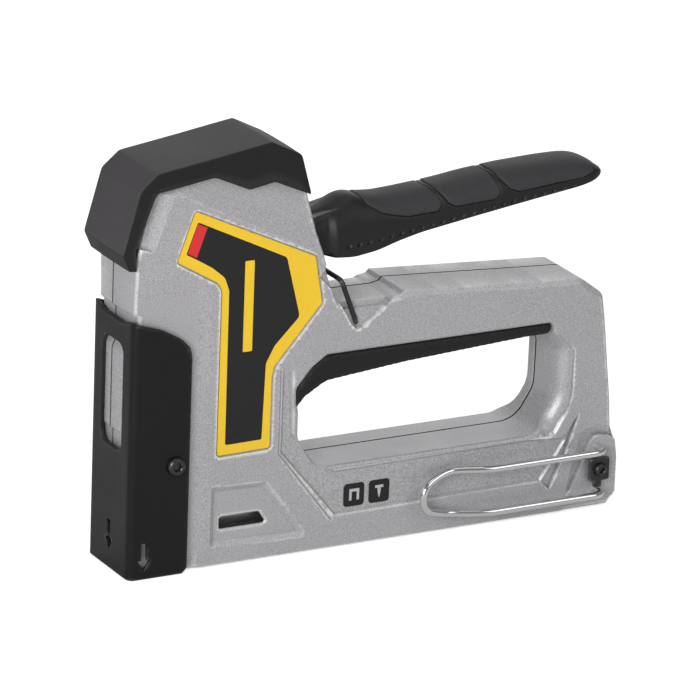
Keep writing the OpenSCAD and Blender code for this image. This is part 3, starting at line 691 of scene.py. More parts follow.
# ---------------------------------------------------------------- outlines of the castings
# all in (x, z), with the radius of the corner where a third number is given
BODY = rounded([
    (3.0, FOOT, 0.6), (3.0, 55.2, 0.3), (1.75, 56.4, 0.3), (1.75, 88, 0.6), (3.0, 91.5, 0.6),
    (3.0, 104.6, 0.3), (1.5, 106, 0.5), (1.5, 128, 1.5), (7.5, 150, 3), (12, 156, 3),
    (56, HEAD_TOP, 3), (68, 158, 4), (74.2, 147, 3), (82.9, 117, 3), (86.1, 106.4, 0.8),
    (88.5, 100, 1.0), (112.6, 99.6, 2), (116.4, 100.4, 0.8), (117.6, 101.8, 1), (197, 96.7, 5),
    (206.8, 89.4, 5), (208.6, 76, 12), (212.3, 44.3, 8), (213, 33.2, 4), (TAIL - 1, 27, 5),
    (TAIL, 20, 4), (TAIL, 5.6, 2), (213, FOOT, 1.5)], 8)
HOLE = rounded([
    (73, 46.5, 9), (73, 59, 5), (72, 61.5, 2), (71.8, 67.8, 3), (78.3, 75.5, 5), (84.8, 80, 4),
    (184.6, 80, 2.4), (185.4, 75.2, 1.5), (188.6, 67, 6), (188.4, 47.5, 12), (180, 34.2, 12),
    (82, 34.2, 10)], 8)
# window onto the magazine, pocket of the label, and recess at the foot of the nose
WINDOW = rounded([(40.6, 14.4, 0.9), (40.6, 19.3, 0.9), (57.6, 19.3, 1.2), (60.9, 14.4, 0.9)])
LABEL = rounded([
    (26, 145, 1.2), (78.3, 120.7, 1.6), (81.7, 101.5, 1.6), (62.1, 78.7, 3), (60.9, 74.5, 3),
    (60.9, 45.4, 1.2), (38.2, 45, 1.2), (38.4, 112.1, 4), (36.6, 115.2, 3), (19, 125.6, 1.2)])
FRONT_RECESS = rounded([(35.7, 32.8, 1.2), (59.7, 31.8, 2.5), (78.9, 6.4, 2), (35.7, 7.7, 1.5)])
# sunk panel round the finger hole's front and foot, and the groove along its front
PANEL = sharp([(65.4, 79), (65.4, 42.7), (90, 13.4), (181.9, 14.5), (188.7, 24.1), (192.9, 30.6),
               (191.2, 31.6), (176, 32.6), (90, 32), (78, 38), (71, 50), (70, 79)])
PANEL_GROOVE = sharp([(64.7, 76), (64.7, 42.4), (88.5, 12.0)])
# each flute: the ridge that its slope falls from, and the step that it ends at
FLUTES = [(sharp([(181.9, 14.5), (188.7, 24.1), (192.5, 30.2), (191.6, 31.8), (199.2, 42.1)]),
           sharp([(186.2, 10.1), (190.6, 20), (192.8, 24.2), (197.6, 38)])),
          (sharp([(193.1, 6.1), (195.9, 19.7), (197.3, 24.4), (199.3, 32.3), (202.5, 33.8),
                  (205.7, 34.8), (208.5, 35.2), (213, 33.2)]),
           sharp([(196.1, 8.7), (201.2, 20), (203.1, 25.4), (204.2, 28.2), (206, 29.8),
                  (208.2, 30.2), (212.4, 29.5), (214.5, 28.2)]))]
FLUTE_FIELDS = [np.concatenate([ridge, step[::-1]]) for ridge, step in FLUTES]
BAIL_RECESS = rounded([
    (94.4, 91.4, 1.5), (97.3, 88.4, 1.2), (100.4, 89.9, 1.2), (107, 94.9, 6), (114.4, 100.8, 1.5),
    (117, 106, 1), (117, 118, 1), (84, 118, 1), (80, 112, 1), (86, 105.8, 2)])
TAIL_BOSS = rounded([(196.2, 3.2, 1), (196.4, 8.7, 1), (201.5, 20, 2), (203.4, 25.4, 3),
                     (204.5, 28.4, 2), (208.3, 30, 3), (212.4, 29.2, 2), (220, 26.5, 1),
                     (220, 3.2, 1)])
# raised mark above the finger hole, gate that the lever works in, and creases between facets
PADLOCK = rounded([(83.0, 87.7, 0.5), (87.2, 87.7, 0.5), (87.2, 91.8, 0.4), (86.5, 91.8, 0.2),
                   (86.5, 94.4, 1.3), (83.7, 94.4, 1.3), (83.7, 91.8, 0.2), (83.0, 91.8, 0.4)])
GATE = sharp([(64, 143.5), (80, 152), (96, 112), (90, 104.5), (66, 108)])
FRONT_CREASE = sharp([(8.8, 90), (8.8, 130.7), (16.5, 151.8), (21, 164)])
LOW_CREASE = sharp([(4, 154.8), (15, 152.6), (21.6, 151.2), (79.9, 121.6), (92, 115.5)])
HIGH_CREASE = sharp([(4, 160), (18, 157.6), (25.5, 155.1), (77.3, 131.8), (92, 125.2)])
BODY_SCREWS = [(48, 62), (33, 150), (203, 62), (150, 89), (110, 25)]
EDGE, TOP_EDGE = (0.9, 0.8), (2.5, 1.4)  # width and depth of the outline's chamfer, and at the top
RIM, SCOOP = (1.5, 1.3), (6.6, 9.0)      # width and depth of the finger hole's rim, and at its rear
RIM_STEP = 0.9                           # sharp step where the scoop starts
SEAM_GAP, SEAM_LIP = 0.1, 0.35           # half of the gap at the parting line, and its chamfer
HEAD_STEP = 2.3                          # how far the head narrows above its upper crease
CREASE_FOOT = (8.8, 130.7)               # where the front facet starts to fall away
# slopes at the rims of the side's features: how wide each is, and how deep or high it goes
RECESS_SLOPE, RECESS_DEPTH = 2.3, 1.5
PANEL_SLOPE, PANEL_DEPTH = 0.8, 0.9
FLUTE_SLOPE, FLUTE_DEPTH = 0.35, 1.9
SOLE_SLOPE, SOLE_RISE, SOLE_TOP = 4.6, 1.1, 7.4
BOSS_SLOPE = 0.5
BAIL_SLOPE, BAIL_FLOOR = 0.6, 3.4
WINDOW_SLOPE = 0.6
BORE, BORE_SLOPE, BORE_FLOOR = 3.9, 0.25, 3.4
STEEP = 0.4                              # width of walls that stand nearly upright
# for lines with a floor and a rim: their distances from the drawn line
LABEL_RIM, LABEL_FLOOR = 0.75, 0.3
GROOVE_FLOOR, GROOVE_RIM, GROOVE_DEPTH = 0.1, 0.5, 0.6
PADLOCK_TOP, PADLOCK_RIM, PADLOCK_RISE = 0.12, 0.37, 0.35
NOSE_WALL = 8.4                          # inner face of the wall behind the nose cover
HOLLOW_STEP = 0.45                       # run of the wall down into the hollow


def edge_size(p):
    """Width and depth of the outline's chamfer: wide and shallow along the handle's top, small
    elsewhere, with soft steps between."""
    x, z = p.T
    share = soft(z - 84, 8) * soft(x - 108, 14)
    return [small + (large - small) * share for small, large in zip(EDGE, TOP_EDGE)]


def scoop(p):
    """Width and depth of the rounding of the finger hole's rim, which swells at its rear."""
    swell = soft(p[:, 0] - 178, 9) * soft(78 - p[:, 1], 12)
    return [small + (large - small) * swell for small, large in zip(RIM, SCOOP)]


def relief(p, side):
    """How deep the casting's face lies below its widest plane at side-view points. Facets, steps
    and grooves add up, and the deepest of edge chamfer, hole rim and recesses wins."""
    x, z = p.T
    low, high = (np.interp(x, *line.T) for line in (LOW_CREASE, HIGH_CREASE))
    base = HEAD_STEP * ramp((z - low) / (high - low))
    crease = np.interp(z, FRONT_CREASE[:, 1], FRONT_CREASE[:, 0])
    below = z - CREASE_FOOT[1] + 0.33 * (x - CREASE_FOOT[0])
    base += 0.34 * np.maximum(crease - x, 0) * ramp(below, 0.8)
    base += 0.7 * (1 - soft(x - 27, 8)) * soft(124 - z, 14)
    base += POCKET * ramp(depth_in(p, LABEL) + LABEL_RIM, LABEL_RIM - LABEL_FLOOR)
    front = FRONT_RECESS[:, 0].min()
    base += RECESS_DEPTH * ramp(depth_in(p, FRONT_RECESS), RECESS_SLOPE) * ramp(x - front, STEEP)
    base += PANEL_DEPTH * ramp(depth_in(p, PANEL), PANEL_SLOPE) * soft(78 - z, 6)
    groove = distance(p, PANEL_GROOVE, False) - GROOVE_FLOOR
    base += GROOVE_DEPTH * (1 - ramp(groove, GROOVE_RIM - GROOVE_FLOOR))
    for (ridge, step), field in zip(FLUTES, FLUTE_FIELDS):
        near, far = distance(p, ridge, False), distance(p, step, False)
        base += FLUTE_DEPTH * near / (near + far + 1e-9) * ramp(depth_in(p, field), FLUTE_SLOPE)
    padlock = distance(p, PADLOCK) - PADLOCK_TOP
    base -= PADLOCK_RISE * (1 - ramp(padlock, PADLOCK_RIM - PADLOCK_TOP))
    base -= SOLE_RISE * ramp(SOLE_TOP - z, SOLE_SLOPE) * soft(x - 27, 5) * soft(194 - x, 3)
    base -= BOSS_RISE * ramp(depth_in(p, TAIL_BOSS), BOSS_SLOPE)
    edge, deep = edge_size(p)
    wide, drop = scoop(p)
    from_hole = -depth_in(p, HOLE)
    rim = 1 - ramp(from_hole, wide)
    step = RIM_STEP * ramp(wide - from_hole, STEEP) * ramp(wide - RIM[0], 3)
    cuts = [base, base + deep * np.maximum(1 - depth_in(p, BODY) / edge, 0),
            base + (drop - step) * (1 - np.sqrt(1 - rim ** 2)) + step,
            BAIL_FLOOR * ramp(depth_in(p, BAIL_RECESS), BAIL_SLOPE),
            base + WINDOW_SLOPE * (1 - ramp(-depth_in(p, WINDOW), WINDOW_SLOPE))]
    if side > 0:
        cuts += [BORE_FLOOR * ramp(BORE - np.hypot(x - screw_x, z - screw_z), BORE_SLOPE)
                 for screw_x, screw_z in BODY_SCREWS]
    return np.max(cuts, 0)


def casting_inner(p, side):
    """y of a casting's inner surface: the parting plane on its walls, the side wall's inner face
    in the hollow, and the tunnel's side where the magazine runs."""
    x, z = p.T
    deep = np.minimum.reduce([depth_in(p, BODY) - WALL, -depth_in(p, HOLE) - WALL,
                              np.where(z < 98, x - NOSE_WALL, 9.0)])
    hollow = np.maximum(ramp(deep, STEEP), ramp(depth_in(p, GATE), STEEP))
    seam = PARTING + side * SEAM_GAP
    y = seam + (side * INNER - seam) * hollow
    beside = np.maximum(y, TUNNEL) if side > 0 else np.minimum(y, -TUNNEL)
    return y + (beside - y) * ramp(TUNNEL_TOP - z, STEEP) * ramp(x - NOSE_WALL, STEEP)


def casting_lines(side):
    """Lines that a casting's triangles follow: the foot and the rim of each slope."""
    lines = [*offsets(BODY, (edge_size(BODY)[0], WALL, WALL + HOLLOW_STEP)),
             (LOW_CREASE, False), (HIGH_CREASE, False), (FRONT_CREASE, False),
             *offsets(FRONT_RECESS, (0, RECESS_SLOPE)), (PADLOCK, True),
             *offsets(TAIL_BOSS, (0, BOSS_SLOPE)), *offsets(BAIL_RECESS, (0, BAIL_SLOPE)),
             (GATE, True), *offsets(PANEL, (0, PANEL_SLOPE))]
    # straight ones: the tunnel's roof, the sole's slope, the foot of the front facet, and the
    # front wall of the recess at the nose
    lines += [(sharp([(x0, z0), (x1, z1)]), False) for x0, z0, x1, z1 in (
        (NOSE_WALL, TUNNEL_TOP, 215, TUNNEL_TOP),
        (NOSE_WALL, TUNNEL_TOP - STEEP, 215, TUNNEL_TOP - STEEP),
        (28, SOLE_TOP, 196, SOLE_TOP), (28, SOLE_TOP - SOLE_SLOPE, 196, SOLE_TOP - SOLE_SLOPE),
        (-1, 134.0, 9.2, 130.6), (-1, 134.8, 9.2, 131.4), (36.1, 8, 36.1, 32))]
    for field in FLUTE_FIELDS:
        lines += offsets(field, (0, FLUTE_SLOPE))
    width, _ = scoop(HOLE)
    lines += offsets(HOLE, [-width * (1 - math.sin(a)) for a in np.linspace(0, 1.42, 10)])
    lines += offsets(LABEL, (-LABEL_RIM, -LABEL_FLOOR))
    lines += offsets(PANEL_GROOVE, (-GROOVE_RIM, -GROOVE_FLOOR, GROOVE_FLOOR, GROOVE_RIM), False)
    lines += offsets(HOLE, [-width + STEEP])
    lines += offsets(PADLOCK, (-PADLOCK_RIM, -PADLOCK_TOP, PADLOCK_TOP, PADLOCK_RIM))
    lines += offsets(WINDOW, [-WINDOW_SLOPE])
    if side > 0:
        radii = BORE, BORE - BORE_SLOPE
        lines += [(circle(x, z, r), True) for x, z in BODY_SCREWS for r in radii]
    return lines


def casting(name, node, side):
    """One casting: its face, a relief over the side outline, joined to its inner surface. Faces
    at the parting line are painted dark, a painted shadow for the shade in the gap between the
    castings."""
    points, tris = triangulate(BODY, [HOLE, WINDOW], casting_lines(side), 1.25)
    face = at_y(lambda p: side * (HALF - relief(p, side)))
    back = at_y(lambda p: casting_inner(p, side))
    solid = shell(points, tris, face, back, 0.0, SEAM_LIP)
    piece = add_piece(name, *solid, "casing", "casting", PAINT, [node], 11.0)
    centres, _ = face_rows(piece)
    # painted shade: faces within the gap and lip of the parting plane take the dark painted-shadow
    # material
    second_material(piece, SEAM_SHADOW, np.abs(centres[:, 1] - PARTING) < SEAM_GAP + SEAM_LIP)


casting("casting_left", "left_housing", -1)
casting("casting_right", "right_cover", 1)

# ---------------------------------------------------------------- rubber cap
CAP_RIM = 2.3                            # thickness of the cap's rubber
CAP_TOP_LINE = [(-2.0, 124.9), (-5.1, 131.8), (1.7, 156.2), (9, 162.3), (33, 165.8), (47, 168),
                (57, 169.5), (70, 163), (74.5, 147.2)]
CAP_LOW_LINE = [(0.6, 124.9), (-0.1, 133.4), (8.3, 154.9), (11.5, 155.3), (32.8, 158.4),
                (47.5, 151.8), (58.3, 153.7), (68, 149.4), (74.0, 146.8)]
CAP_TOP_HALF, CAP_LOW_HALF = 17.1, 17.7  # half-widths at the shoulder and at the skirt's edge
CAP_SHOULDER, CAP_CROWN = 0.8, 0.25      # radius of the shoulder, and rise of the top at mid-width
CAP_ROWS = 150                           # sections along the cap
CAP_FOOT = 131.8                         # height where the cap's front facet ends


def cap_surface(inside_by):
    """Half sections of the cap along its length: each runs from the skirt's edge up the side, round
    the shoulder and to mid-width. Both guiding lines are the corners given above, eased by the
    mean of three neighbours, and inside_by moves the section inwards."""
    t = np.linspace(0, len(CAP_TOP_LINE) - 1, CAP_ROWS)

    def eased(line):
        line = np.array(line, float)
        raw = np.stack([np.interp(t, np.arange(len(line)), line[:, i]) for i in (0, 1)], 1)
        padded = np.concatenate([raw[:1], raw, raw[-1:]])
        return np.stack([np.convolve(padded[:, i], np.full(3, 1 / 3), "valid") for i in (0, 1)], 1)

    top, low = eased(CAP_TOP_LINE), eased(CAP_LOW_LINE)
    down = low - top
    length = np.linalg.norm(down, axis=1, keepdims=True)
    down /= length
    top = top + down * np.minimum(inside_by, 0.4 * length)
    side = top + down * CAP_SHOULDER - low
    # the skirt's edge and the straight side, then the round shoulder, then the crowned top
    rows = [(low + side * s, CAP_LOW_HALF + (CAP_TOP_HALF - CAP_LOW_HALF) * s - inside_by)
            for s in (0, 0.35, 0.7)]
    rows += [(top + down * CAP_SHOULDER * (1 - math.sin(a)),
              CAP_TOP_HALF - inside_by - CAP_SHOULDER * (1 - math.cos(a)))
             for a in np.linspace(0, math.pi / 2, 9)]
    rows += [(top - down * CAP_CROWN * (1 - s * s), (CAP_TOP_HALF - CAP_SHOULDER) * s)
             for s in (0.6, 0.3)]
    return np.stack([np.stack([p[:, 0], np.full(CAP_ROWS, y), p[:, 1]], 1) for p, y in rows], 1)


def cap():
    """Shell of the cap: the outer section from side to side, then the inner one back."""
    outer, inner = cap_surface(0.0), cap_surface(CAP_RIM)
    flip, middle = [1, -1, 1], [1, 0, 1]
    rings = np.concatenate([outer * flip, outer[:, -1:] * middle, outer[:, ::-1],
                            inner, inner[:, -1:] * middle, inner[:, ::-1] * flip], 1)
    piece = add_piece("head_cap", *lofted(rings), "casing", "cap_rubber", CAP, ["top_cap"], 13.0)
    centres, normals = face_rows(piece)
    # painted light: faces that look up or forwards, above the front facet's foot, take the lighter
    # copy as a painted highlight
    second_material(piece, CAP_LIT_TOP, (np.abs(normals[:, 1]) < 0.6) & (centres[:, 2] > CAP_FOOT))


cap()

# ---------------------------------------------------------------- nose cover
BEND = 3.2                               # outer radius of the cover's two bends
FLAT = COVER_HALF - BEND
ARC = BEND * math.pi / 2


def cover_place(depth):
    """Wraps the flat blank round the nose: s runs across it from mid-width, over the flat front,
    round a quarter circle and back along the flange. depth is measured in from its outside."""
    def place(p):
        s, z = p.T
        size, side = np.abs(s), np.sign(s)
        turn = np.clip((size - FLAT) / BEND, 0, math.pi / 2)
        run = np.maximum(size - FLAT - ARC, 0)
        r = BEND - depth
        x = BEND - r * np.cos(turn) + run
        y = np.minimum(size, FLAT) + r * np.sin(turn)
        return np.stack([x, side * y, z], 1)
    return place


def arrow(s, z, width, height):
    """Outline of an arrow that points down, with its tip at (s, z)."""
    w, shaft, neck = width / 2, width / 5, height * 0.38
    return sharp([(s, z), (s + w, z + neck), (s + shaft, z + neck), (s + shaft, z + height),
                  (s - shaft, z + height), (s - shaft, z + neck), (s - w, z + neck)])


def nose_cover():
    """Bent sheet with a long window, arrows and a dipped front edge."""
    rear = COVER_DEPTH - BEND + FLAT + ARC

    def at(x):
        return x - BEND + FLAT + ARC

    right = [(rear - 2, 0, 0.8), (rear, 2, 0.8), (rear, 88, 3), (at(24.4), 91.6, 3),
             (at(20.7), 95.4, 5), (at(12.2), 100.2, 6), (FLAT + 1.5, COVER_TOP - 0.4, 3),
             (7.5, 101.9, 8)]
    left = [(-s, z, r) for s, z, r in reversed(right)]
    outline = rounded(left + right, 10)
    window = rounded([(-8.8, 50, 4), (8.8, 50, 4), (8.8, 93, 4), (-8.8, 93, 4)], 10)
    flange = at(6.8)
    holes = [window, arrow(0, 7.5, 6.4, 12), *[arrow(s, 3.6, 5.4, 11) for s in (flange, -flange)]]
    bends = [(sharp([(side * (FLAT + ARC * t), -1), (side * (FLAT + ARC * t), 106)]), False)
             for side in (-1, 1) for t in np.linspace(0, 1, 9)]
    points, tris = triangulate(outline, holes, bends, 2.2)
    solid = shell(points, tris, cover_place(0.0), cover_place(SHEET), 0.4, 0.3)
    add_piece("nose_plate", *solid, "casing", "black_steel", COVER, ["nose_cover"], 30.0)


nose_cover()

# ---------------------------------------------------------------- label and icon plates


def zoned_plate(name, outline, zones, y_face, y_back, materials, slot, replaces):
    """Printed plate: triangles whose middle lies in a zone's outline take that zone's material,
    and later zones lie over earlier ones."""
    points, tris = triangulate(outline, [], [(zone, True) for zone, _ in zones], 1.6)
    solid = shell(points, tris, at_y(y_face), at_y(y_back), 0.08, 0.0)
    piece = add_piece(name, *solid, "casing", slot, materials[0], replaces, 30.0)
    for material in materials[1:]:
        piece.data.materials.append(material)
    centres = face_rows(piece)[0][:, [0, 2]]
    index = np.zeros(len(centres), np.int32)
    for zone, which in zones:
        index[inside(centres, zone)] = which
    piece.data.polygons.foreach_set("material_index", index)


LABEL_FIELD = rounded([
    (27.3, 140.6, 0.8), (65.9, 121.9, 2.5), (72.2, 97.3, 2.5), (61.8, 86.8, 4), (58.2, 80, 3),
    (57.3, 49.2, 0.8), (41.6, 49, 0.8), (41.4, 111.7, 4), (39.4, 117, 4), (33.9, 121.6, 3),
    (27.3, 125.6, 2), (22.7, 128.2, 0.8)])
RED_FIELD = sharp([(27.2, 139.9), (23.3, 128.5), (27.2, 126.4), (31.4, 138.0)])
BAR = rounded([(48, 85.9, 0.4), (52, 85.9, 0.4), (52, 122.5, 0.4), (48, 122.5, 0.4)])
LABEL_PROUD, LABEL_SUNK = 0.28, 0.3      # face above the pocket's floor, and back below it
for side, word in ((-1, "left"), (1, "right")):
    zoned_plate(f"label_{word}", LABEL, [(LABEL_FIELD, 1), (RED_FIELD, 2), (BAR, 0)],
                side * (HALF - POCKET + LABEL_PROUD), side * (HALF - POCKET - LABEL_SUNK),
                [YELLOW, LABEL_BLACK, RED], "label", [f"decal_{word}"])


def icon_plates():
    """Two dark tiles with pictograms: a staple, and a nail."""
    y_face, y_back = -HALF + PANEL_DEPTH - 0.27, -HALF + 1.2
    staple = sharp([(96.6, 18.4), (97.7, 18.4), (97.7, 21.9), (99.9, 21.9), (99.9, 18.4),
                    (101, 18.4), (101, 23.1), (96.6, 23.1)])
    nail = sharp([(109.1, 20.9), (109.6, 18.2), (110.0, 18.2), (110.5, 20.9), (110.5, 22.0),
                  (111.6, 22.0), (111.6, 23.1), (108.0, 23.1), (108.0, 22.0), (109.1, 22.0)])
    for x, mark, name in ((94.2, staple, "icon_staple"), (105.3, nail, "icon_nail")):
        outline = rounded([(x, 15.9, 1.4), (x + 9, 15.9, 1.4), (x + 9, 25.3, 1.4), (x, 25.3, 1.4)])
        zoned_plate(name, outline, [(mark, 1)], y_face, y_back, [LABEL_BLACK, ICON_SILVER],
                    "icon_print", ["icon_plates"])


icon_plates()

# ---------------------------------------------------------------- rubber insert of the finger hole
INSERT_LINE = [(66, 57.8, 0.5), (72.4, 58.6, 1), (76.1, 63.3, 4), (85.3, 68.7, 10), (120.4, 72, 30),
               (155.9, 74, 30), (174.3, 75.0, 10), (184.8, 75.0, 2.6), (184.8, 80.1, 2.6),
               (84.8, 80.1, 4), (78.1, 75.7, 5), (71.6, 68, 3), (71.6, 61.5, 2)]
INSERT_ROUND, INSERT_HALF = 2.6, HALF - 0.45
RIB_PITCH, RIB_DEPTH = 3.2, 0.25


def insert():
    """Rubber lining: thick at mid-width and rounded down to the faces of the castings, with low
    ribs across its underside. A point of the side outline stands at
    half-width - round * (1 - sqrt(1 - t^2)), where t falls from 1 at the edge to 0 inside."""
    outline = rounded(INSERT_LINE, 10)

    def width(p):
        t = 1 - ramp(depth_in(p, outline), INSERT_ROUND)
        ribs = RIB_DEPTH * soft(np.cos(2 * math.pi * p[:, 0] / RIB_PITCH) - 0.2, 0.5) * (t > 0.15)
        return INSERT_HALF - INSERT_ROUND * (1 - np.sqrt(np.maximum(1 - t ** 2, 0))) - ribs

    lines = offsets(outline, [INSERT_ROUND * t for t in (0.08, 0.25, 0.5, 1.0)])
    points, tris = triangulate(outline, [], lines, 0.9)
    solid = shell(points, tris, at_y(lambda p: -width(p)), at_y(width))
    add_piece("hole_insert", *solid, "casing", "grip_rubber", INSERT, ["grip_insert"], 40.0)


insert()

# ---------------------------------------------------------------- lever
GRIP_TOP = sharp([(79.5, 133.6), (88.5, 136.4), (96.4, 140.2), (99.2, 139.9), (103.4, 138.8),
                  (111.8, 138.0), (122.7, 138.5), (133.2, 139.3), (142, 140.2), (150.8, 141.4),
                  (158.3, 142.1), (166.9, 142.9), (185.4, 143.5), (195.2, 143.4), (200.1, 142.8),
                  (203.5, 141.6), (206.8, 139.6), (209.0, 137.4)])
GRIP_LOW = sharp([(79.5, 120.0), (88.3, 116.8), (97.7, 115.9), (107.1, 117.4), (116, 120.3),
                  (125.9, 122.7), (148.2, 126.2), (173.2, 129.9), (195.5, 133.1), (203.0, 134.8),
                  (209.0, 137.0)])
GRIP_HALF, NECK_HALF = 12.3, 9.8
CREST_SHARE = 0.72                       # share of the section's height above its widest line
GRIP_START, GRIP_END = 79.6, 209.0
TIP_START, TIP_LENGTH = 196, 13.6        # where the grip's end starts to round in, and how far
CREST_POWER, FOOT_POWER = 2.5, 6.0       # of the section's superellipse, above and below
GRIP_ROWS, GRIP_COLUMNS = 440, 176


def smooth_line(line, x):
    """Height of a line at x, eased by averaging it over a few millimetres."""
    return np.mean([np.interp(x + o, *line.T) for o in np.linspace(-2.5, 2.5, 7)], 0)


def grip_section(x):
    """Half-width, height of the widest line, and reach above and below it."""
    top, low = smooth_line(GRIP_TOP, x), smooth_line(GRIP_LOW, x)
    swell = 0.85 * soft(x - 86, 4) + 0.15 * soft(x - 103, 8)
    half = NECK_HALF + (GRIP_HALF - NECK_HALF) * swell
    half = half * (1 - np.clip((x - TIP_START) / TIP_LENGTH, 0, 1) ** 2.6) ** (1 / 2.2)
    widest = low + (1 - CREST_SHARE) * (top - low)
    return half, widest, top - widest, widest - low


def grip_point(x, angle, rise=0.0):
    """Point of the grip: a superellipse about the widest line, (y/half)^n + (z/reach)^n = 1, in
    the direction of angle, which is 0 at the crest and positive to the right; rise moves it
    outwards."""
    half, widest, up, down = grip_section(x)
    c, s = np.cos(angle), np.sin(angle)
    n = np.where(c > 0, CREST_POWER, FOOT_POWER)
    size = (np.abs(s) ** n + np.abs(c) ** n) ** (-1 / n)
    reach = np.where(c > 0, up, down) + rise
    return np.stack([x, (half + rise) * s * size, widest + reach * c * size], -1)


PAD_SCALE = 12.0                         # millimetres of surface for each radian of the section
PAD_RISE, PAD_GROOVE = 0.3, 0.55
PAD_EDGE, PAD_ROOT = 0.8, 1.1            # width of a pad's rounded rim, and how deep its root lies
PAD_LINES = {
    "front": [(101.2, 0, 3), (103.5, 136.6, 3), (109, 133.2, 4), (120, 130.8, 5),
              (132.8, 131.3, 2.5), (135.2, 134.2, 2.5), (132.0, 138.4, 3), (130.8, 0, 3)],
    "mid": [(133.0, 0, 3), (134.4, 138.4, 3), (137.6, 134.2, 2.5), (140.6, 132.3, 3),
            (157.6, 133.2, 3), (160.8, 135.4, 2.5), (158.8, 140.4, 3), (157.6, 0, 3)],
    "rear": [(159.8, 0, 3), (161.2, 140.6, 3), (164.4, 136.8, 3), (168.5, 135.1, 3),
             (197, 137.4, 4), (201.5, 138.6, 3), (205.2, 139.9, 2), (206.2, 0, 3)],
}
SLOT_LINE = sharp([(94.5, 121.4), (104.3, 122.1), (113.8, 123.8), (127, 125.5), (140.2, 127.2),
                   (152.9, 129.1), (170.1, 131.7), (187, 133.4), (195, 134.4)])
SLOT_PITCH, SLOT_COUNT = 4.47, 23
SLOT_HALF, SLOT_HEIGHT, SLOT_DEPTH, SLOT_SLANT = 0.95, 0.8, 0.9, 0.6


def pad_outline(corners):
    """Outline of a pad in (x, q), with q the angle times PAD_SCALE: its side-view corners (x, z)
    are turned with the section's own formula, tan(angle)^n = (1 - share^n) / share^n, z = 0 stands
    for the crest, and the other side is the mirror of this one."""
    flat = []
    for x, z, r in corners:
        _, widest, up, _ = grip_section(np.array([float(x)]))
        share = float(np.clip((z - widest[0]) / up[0], 0.02, 0.999)) if z else 1.0
        tangent = (1 / share ** CREST_POWER - 1) ** (1 / CREST_POWER)
        flat.append((x, PAD_SCALE * math.atan(tangent), r))
    first, *middle, last = flat
    left = [(x, -q, r) for x, q, r in middle]
    return rounded([(first[0], 0, 4), *left, (last[0], 0, 4), *middle[::-1]], 10)


PAD_OUTLINES = {key: pad_outline(corners) for key, corners in PAD_LINES.items()}


def lever_grip():
    """Grip: sections along the lever, with a groove round each pad and a row of small slanted
    slots pressed in along both lower edges."""
    x, angle = np.meshgrid(np.linspace(GRIP_START, GRIP_END, GRIP_ROWS),
                           np.linspace(-math.pi, math.pi, GRIP_COLUMNS, endpoint=False),
                           indexing="ij")
    beside = grip_point(x, angle)[..., 2] - np.interp(x, *SLOT_LINE.T)
    along = x - SLOT_SLANT * beside - SLOT_LINE[0, 0] + SLOT_PITCH / 2
    in_row = (along > 0) & (along < SLOT_COUNT * SLOT_PITCH)
    across = np.abs(along % SLOT_PITCH - SLOT_PITCH / 2) - SLOT_HALF
    slots = ramp(-np.maximum(across, np.abs(beside) - SLOT_HEIGHT), 0.35) * in_row
    flat = np.stack([x.ravel(), (angle * PAD_SCALE).ravel()], 1)
    near = np.min([distance(flat, outline) for outline in PAD_OUTLINES.values()], 0)
    groove = PAD_GROOVE * (1 - soft(near.reshape(x.shape) - 0.1, 0.5))
    rings = grip_point(x, angle, -SLOT_DEPTH * slots - groove)
    add_piece("squeeze_grip", *lofted(rings), "lever", "lever_plastic", GRIP, ["lever_grip"], 40.0)


lever_grip()


def pad(name, outline):
    """Soft pad over the crest: the shell between the grip and a surface that stands off it by
    PAD_RISE and rounds down into the groove along its rim."""
    points, tris = triangulate(outline, [], offsets(outline, (0.15, 0.4, PAD_EDGE)), 1.2)

    def outer(p):
        t = 1 - ramp(distance(p, outline), PAD_EDGE)
        rise = PAD_RISE - (PAD_RISE + 0.3) * (1 - np.sqrt(np.maximum(1 - t ** 2, 0)))
        return grip_point(p[:, 0], p[:, 1] / PAD_SCALE, rise)

    def inner(p):
        return grip_point(p[:, 0], p[:, 1] / PAD_SCALE, -PAD_ROOT)

    add_piece(f"grip_pad_{name}", *shell(points, tris, outer, inner), "lever", "grip_rubber", PAD,
              [f"lever_pad_{name}"], 50.0)


for pad_name, outline in PAD_OUTLINES.items():
    pad(pad_name, outline)

# ---------------------------------------------------------------- wire parts
HOOK_RADIUS, HOOK_BEND, HOOK_MIDDLE = 1.5, 6.0, 16.5
HOOK_HALF_ROUTE = [(207.5, -14, 25.5), (207.5, -22.5, 25.5), (154, -22.5, 25.5),
                   (142, -17.6, 25.5), (136.5, -17.8, 24.8), (126.6, -20.7, 21.4)]
BAIL_RADIUS, BAIL_BEND = 1.0, 2.6
BAIL_HALF_ROUTE = [(97.8, -10.4, 90.6), (97.8, -13.6, 90.6), (90.6, -13.6, 109)]
CLIP_FACE = -HALF - BOSS_RISE            # face of the tail boss, which the hook's clip lies on
CLIP_SHEET = 1.5
CLIP_LINE = rounded([(202.7, 12.2, 1), (204.9, 12.0, 0.5), (204.9, 9.4, 0.6), (208.4, 9.4, 0.6),
                     (208.4, 12.0, 0.5), (211.7, 12.2, 1), (211.7, 21.8, 1), (202.7, 21.8, 1)])
CLIP_SCREW, CLIP_HOLE = (207.2, 17), 1.6


def wire(half, mirror, middle, bend, step, radius, sides):
    """Wire whose route is drawn for one half, and mirrored for the other: the second half
    is the first one reversed, times `mirror`, plus `middle`."""
    half = np.array(half, float)
    route = np.concatenate([half, half[::-1] * mirror + middle])
    return tube(bent(route, bend, step), radius, sides)


